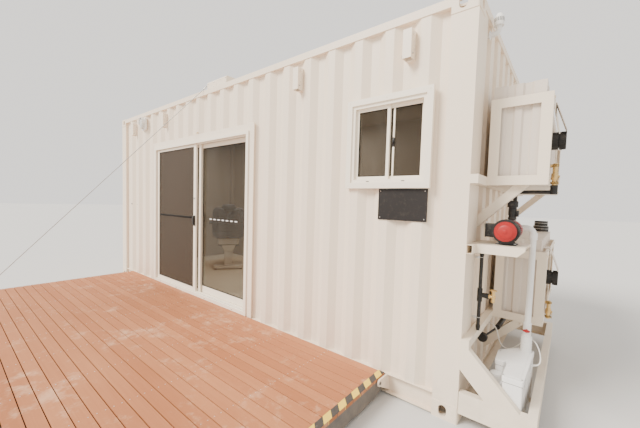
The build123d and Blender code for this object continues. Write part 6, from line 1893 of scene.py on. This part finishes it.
@dataclass
class Pad:
    """Padded piece of the chair in metres, swollen by a cloth simulation and piped round its edge."""

    name: str
    outline: list[tuple[float, float]]
    thick: float
    place: Matrix
    fill: float = 0.85
    crown: float = 0.016
    voxel: float = 0.010
    cap: float = 0.022
    pressure: float = 4.0
    steps: int = 20
    channels: tuple[float, ...] = ()
    shares: ClassVar[Profile] = ((-0.5, 0.92), (-0.34, 0.975), (0.0, 0.985), (0.34, 0.975), (0.5, 0.92))
    caps: ClassVar[Profile] = ((0.62, 0.6), (0.3, 0.9))

    def _shell(self) -> bpy.types.Mesh:
        """Shapes a closed pillow, a little smaller than its space so that it can swell.

        Returns:
            The pillow's mesh.
        """
        mesh = bmesh.new()
        top = self.thick / 2 - self.crown
        levels = [(level * (self.thick - 2 * self.crown), share) for level, share in self.shares]
        levels = ([(-top - self.crown * rise, share) for share, rise in self.caps[::-1]] + levels
                  + [(top + self.crown * rise, share) for share, rise in self.caps])
        rings = [[mesh.verts.new((x * share, y * share, z)) for x, y in self.outline] for z, share in levels]
        for one, two in zip(rings, rings[1:]):
            for i in range(len(one)):
                j = (i + 1) % len(one)
                mesh.faces.new((one[i], one[j], two[j], two[i]))
        for ring, z in ((rings[0], -self.thick / 2), (rings[-1], self.thick / 2)):
            hub = mesh.verts.new((0.0, 0.0, z))
            for i, vertex in enumerate(ring):
                mesh.faces.new((vertex, ring[(i + 1) % len(ring)], hub))
        bmesh.ops.recalc_face_normals(mesh, faces=mesh.faces)
        data = bpy.data.meshes.new(self.name)
        mesh.to_mesh(data)
        mesh.free()
        return data

    def _swell(self, pad: bpy.types.Object) -> None:
        """Blows the pad's dense mesh up with cloth pressure and keeps the result, capped.

        Args:
            pad: pad with its dense mesh.
        """
        cloth = pad.modifiers.new("swell", "CLOTH").settings
        cloth.use_pressure = True
        cloth.uniform_pressure_force = self.pressure
        cloth.effector_weights.gravity = 0.0
        scene = bpy.context.scene
        for step in range(1, self.steps + 1):
            scene.frame_set(step)
        swollen = solid_copy(pad)
        for vertex, moved in zip(pad.data.vertices, swollen.vertices):
            move = moved.co - vertex.co
            vertex.co += move.normalized() * min(move.length, self.cap)
        pad.modifiers.clear()
        bpy.data.meshes.remove(swollen)
        scene.frame_set(1)

    def _sew(self, data: bpy.types.Mesh) -> None:
        """Calms the dense mesh, sinks the seam round its edge and presses the channels in.

        Args:
            data: the dense mesh.
        """
        mesh = bmesh.new()
        mesh.from_mesh(data)
        for _ in range(3):
            bmesh.ops.smooth_vert(mesh, verts=mesh.verts, factor=0.5, use_axis_x=True, use_axis_y=True,
                                  use_axis_z=True)
        for vertex in mesh.verts:
            flat = Vector((vertex.co.x, vertex.co.y, 0.0))
            seam = math.exp(-((vertex.co.z / 0.008) ** 2)) * 0.005
            vertex.co -= flat.normalized() * seam * min(1.0, flat.length / 0.1)
            for channel in self.channels:
                press = math.exp(-(((vertex.co.y - channel) / 0.010) ** 2)) * 0.010
                vertex.co.z -= math.copysign(press, vertex.co.z)
        mesh.to_mesh(data)
        mesh.free()

    def _piping(self, data: bpy.types.Mesh) -> list[Vector]:
        """Points of the welt that lies in the edge's seam, on the sewn mesh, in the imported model's millimetres.

        Args:
            data: the sewn mesh.

        Returns:
            Points in order round the edge.
        """
        tree = BVHTree.FromPolygons([vertex.co for vertex in data.vertices],
                                    [tuple(face.vertices) for face in data.polygons])
        ways = [Vector((x, y, 0.0)).normalized() for x, y in self.outline]
        return [self.place @ tree.ray_cast(way * 2.0, -way)[0] / MM for way in ways]

    def build(self, replaced: str = "") -> None:
        """Makes the pad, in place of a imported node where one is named, and its piping.

        Args:
            replaced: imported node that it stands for.
        """
        pad = linked(self.name, self._shell())
        remesh = pad.modifiers.new("even", "REMESH")
        remesh.mode = "VOXEL"
        remesh.voxel_size = self.voxel
        even = solid_copy(pad)
        pad.modifiers.clear()
        pad.data = even
        self._swell(pad)
        self._sew(even)
        welt = Shaper()
        welt.swept(self._piping(even), 4.2, 8, closed=True)
        welt.piece(self.name + "_welt", UPHOLSTERY, "treatment_chair")
        even.transform(self.place)
        bpy.data.objects.remove(pad)
        even.polygons.foreach_set("use_smooth", [True] * len(even.polygons))
        made = place_piece(self.name, even, UPHOLSTERY, replaced=replaced)
        smooth = made.modifiers.new("smooth", "SUBSURF")
        smooth.levels = smooth.render_levels = 1


@dataclass
class TreatmentChair:
    """Reclining treatment chair in the room: pads, drawer box, column and base."""

    site: Site
    place: Triple = (1420.0, 1360.0, 175.0)
    turn: float = -35.0
    seat_z: float = 592.0
    lean: float = 14.0
    back_x: float = 190.0
    arm_y: float = 318.0
    foot: Profile = ((0.5, 20.0), (3.0, 24.0), (10.0, 24.0), (13.0, 12.0), (26.0, 10.0))

    def _at(self, x: float = 0.0, y: float = 0.0, z: float = 0.0) -> Matrix:
        """Level frame of the chair, moved to a point in millimetres."""
        ground = Matrix.Translation(self.site.wall(self.place)) @ Matrix.Rotation(math.radians(self.turn), 4, "Z")
        return ground @ Matrix.Translation(Vector((x, y, z)) * MM)

    def _spot(self, point: Triple) -> Vector:
        """Point given in millimetres in the chair's own frame."""
        return self._at() @ (Vector(point) * MM)

    def _leant(self, x: float, z: float, lean: float, up: float, out: float) -> tuple[Vector, Matrix]:
        """Point on a plane that leans back, and the frame there: X across the chair, Y up and Z behind.

        Args:
            x: place of the plane's foot towards the back.
            z: height of the plane's foot over the floor.
            lean: lean backwards in degrees.
            up: distance of the point up the plane.
            out: distance of the point behind it.

        Returns:
            The point in the chair's own frame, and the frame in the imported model's.
        """
        angle = math.radians(lean)
        rise = Vector((math.sin(angle), 0.0, math.cos(angle)))
        behind = Vector((math.cos(angle), 0.0, -math.sin(angle)))
        middle = Vector((x, 0.0, z)) + rise * up + behind * out
        turn = Matrix((Vector(BACK), rise, behind)).transposed().to_4x4()
        return middle, self._at(*middle) @ turn

    def _pads(self) -> None:
        """Makes the seat, the back with its two shoulders, the headrest, the leg rest and the arms."""
        seat = self.seat_z
        Pad("chair_seat", soft_outline(0.505, 0.545, 0.07), 0.112, self._at(z=seat + 60.0),
            channels=(-0.09, 0.09)).build("treatment_chair")
        Pad("chair_back", soft_outline(0.625, 0.625, 0.11, (0.125, 0.10)), 0.10,
            self._leant(self.back_x, seat, self.lean, 320.0, 52.0)[1], channels=(-0.16, 0.02)).build()
        Pad("chair_headrest", soft_outline(0.262, 0.162, 0.06), 0.08,
            self._leant(self.back_x, seat, self.lean, 590.0, 26.0)[1]).build()
        Pad("chair_legrest", soft_outline(0.43, 0.37, 0.03), 0.08,
            self._leant(-217.5, seat + 60.0, 28.0, -190.0, -42.0)[1], channels=(-0.06, 0.06)).build()
        for name, y in (("chair_arm_left", -self.arm_y), ("chair_arm_right", self.arm_y)):
            Pad(name, soft_outline(0.372, 0.070, 0.03), 0.054, self._at(0, y, 879.0), crown=0.006, cap=0.008).build()

    @staticmethod
    def _box(shape: Shaper, low: Triple, high: Triple, soften: float) -> None:
        """Adds a softened box that turns with the chair."""
        corners = ((low[0], low[1]), (high[0], low[1]), (high[0], high[1]), (low[0], high[1]))
        shape.prism([(x, y, low[2]) for x, y in corners], (0.0, 0.0, high[2] - low[2]), soften)

    def _stand(self) -> None:
        """Makes the base and the column that widens under the drawers."""
        base = Shaper(self._spot)
        base.prism([(x, y, 22.0) for x, y in soft_outline(430.0, 530.0, 60.0)], (0.0, 0.0, 46.0), 12.0)
        column = soft_outline(200.0, 160.0, 26.0, steps=4)
        base.prism([(x, y, 66.0) for x, y in column], (0.0, 0.0, 266.0), 3.0)
        wide = soft_outline(382.0, 270.0, 26.0, steps=4)
        base.skin([[self._spot((x, y, z)) for x, y in ring] for ring, z in ((column, 330.0), (wide, 472.0))])
        base.piece("chair_column", CHAIR_BASE, "treatment_chair")

    def _drawers(self) -> None:
        """Makes the drawer box, its three fronts and their knobs."""
        box = Shaper(self._spot)
        box.prism([(x, y, 472.0) for x, y in soft_outline(430.0, 380.0, 24.0, steps=4)], (0.0, 0.0, 117.0), 5.0)
        for z, high in ((478.0, 34.0), (518.0, 32.0), (552.0, 32.0)):
            self._box(box, (213.0, -165.0, z), (219.5, 165.0, z + high), 2.0)
        box.piece("chair_drawers", CHAIR_SHELL, "treatment_chair")
        out = self._at().to_3x3() @ Vector(RIGHT)
        knobs = facing(((219.5, y, z) for z in (496.0, 534.0, 568.0) for y in (-120.0, 120.0)), out)
        repeat("drawer_knobs", Head.DOME, self._spot, knobs, WHITE_PLASTIC, (22.0, 8.0))

    def _steel(self) -> None:
        """Makes the feet and the steel that carries the pads."""
        steel = Shaper(self._spot)
        self._box(steel, (-222.0, -196.0, 463.0), (224.0, 196.0, 475.0), 2.0)
        for x in (-181.0, 181.0):
            for y in (-231.0, 231.0):
                steel.turned((x, y, 0.0), UP, self.foot, 24)
        for y, arm in ((-280.0, -self.arm_y), (280.0, self.arm_y)):
            self._box(steel, (-14.0, y - 14.0, 600.0), (14.0, y + 14.0, 852.0), 3.0)
            self._box(steel, (-120.0, arm - 20.0, 846.0), (120.0, arm + 20.0, 853.0), 2.0)
        self._box(steel, (-200.0, -230.0, 588.0), (200.0, 230.0, 598.0), 2.0)
        foot, head = (self._leant(self.back_x, self.seat_z, self.lean, up, 108.0)[0] for up in (60.0, 560.0))
        for shift in (Vector((0.0, -160.0, 0.0)), Vector((0.0, 160.0, 0.0))):
            steel.rod(foot + shift, head + shift, 11.0, 14, 2.0)
        steel.piece("chair_steel", DARK_STEEL, "treatment_chair")

    def build(self) -> None:
        """Makes the chair's pieces."""
        self._pads()
        self._stand()
        self._drawers()
        self._steel()


@dataclass
class Studio:
    """Floor, lights and the camera of the photograph, in metres and degrees."""

    site: Site
    position: Triple = (6.577, -2.189, 1.494)
    yaw: float = 38.670
    pitch: float = -3.092
    roll: float = 1.741
    focal_pixels: float = 309.0
    frame_width: float = 640.0
    axis_offset: tuple[float, float] = (2.1, 5.2)
    floor_half: float = 60.0
    sky_colour: Triple = (1.0, 0.965, 0.92, 1.0)
    sky_strength: float = 1.42
    sun_energy: float = 5.6
    sun_way: Triple = (0.47, 0.72, -0.75)
    room_energy: float = 95.0

    def camera(self) -> None:
        """Sets the camera up from the angles and the focal length in pixels."""
        yaw, pitch, roll = (math.radians(angle) for angle in (self.yaw, self.pitch, self.roll))
        flat = Vector((-math.sin(yaw), math.cos(yaw), 0.0))
        right = Vector((math.cos(yaw), math.sin(yaw), 0.0))
        up = Vector(UP)
        ahead = flat * math.cos(pitch) + up * math.sin(pitch)
        rise = up * math.cos(pitch) - flat * math.sin(pitch)
        side = right * math.cos(roll) + rise * math.sin(roll)
        top = rise * math.cos(roll) - right * math.sin(roll)
        turn = Matrix((side, top, -ahead)).transposed().to_4x4()
        data = bpy.data.cameras.new("photo_camera")
        data.sensor_width = 36.0
        data.lens = self.focal_pixels / self.frame_width * data.sensor_width
        data.shift_x = -self.axis_offset[0] / self.frame_width
        data.shift_y = self.axis_offset[1] / self.frame_width
        data.clip_end = 200.0
        camera = linked("photo_camera", data)
        place = Vector(self.position) + Vector((self.site.left, self.site.front, 0.0))
        camera.matrix_world = Matrix.Translation(place) @ turn
        bpy.context.scene.camera = camera

    def floor(self) -> None:
        """Lays a pale floor."""
        mesh = bpy.data.meshes.new("studio_floor")
        half = self.floor_half
        mesh.from_pydata([(-half, -half, 0), (half, -half, 0), (half, half, 0), (-half, half, 0)], [], [(0, 1, 2, 3)])
        mesh.materials.append(Panel("studio_floor", colour=(0.62, 0.61, 0.59), rough=0.8, mottle=0.05).material())
        linked("studio_floor", mesh)

    def lights(self) -> None:
        """Hangs a broad soft light at the front left, an even sky and a lamp in the room."""
        world = bpy.data.worlds.new("studio_sky")
        world.use_nodes = True
        sky = world.node_tree.nodes["Background"].inputs
        sky["Color"].default_value = self.sky_colour
        sky["Strength"].default_value = self.sky_strength
        bpy.context.scene.world = world
        sun = bpy.data.lights.new("soft_key", "SUN")
        sun.energy, sun.angle, sun.color = self.sun_energy, math.radians(25), (1.0, 0.95, 0.88)
        linked("soft_key", sun).rotation_euler = Vector(self.sun_way).to_track_quat("-Z", "Y").to_euler()
        room = bpy.data.lights.new("room_light", "AREA")
        room.shape, room.size, room.size_y = "RECTANGLE", 3.2, 1.2
        room.energy, room.color = self.room_energy, (1.0, 0.93, 0.82)
        linked("room_light", room).location = self.site.wall((2500.0, 1250.0, 2760.0))

    def build(self) -> None:
        """Sets up the whole studio."""
        self.camera()
        self.floor()
        self.lights()


def main() -> None:
    """Builds the scene in order."""
    logging.basicConfig(level=logging.INFO, format="%(message)s")
    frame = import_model()
    site = Site.read()
    Studio(site).build()
    PowerCord(site).build()
    dress(frame["nodes"])
    for part in (WallSteel, DeckSocket, WallLight, NoticeBoard, Window, SlidingDoor, Deck, StayEnds, TankRack,
                 WaterPump, ServicePipes, WasteBox, RoofVent, TreatmentChair):
        part(site).build()


if __name__ == "__main__":
    main()
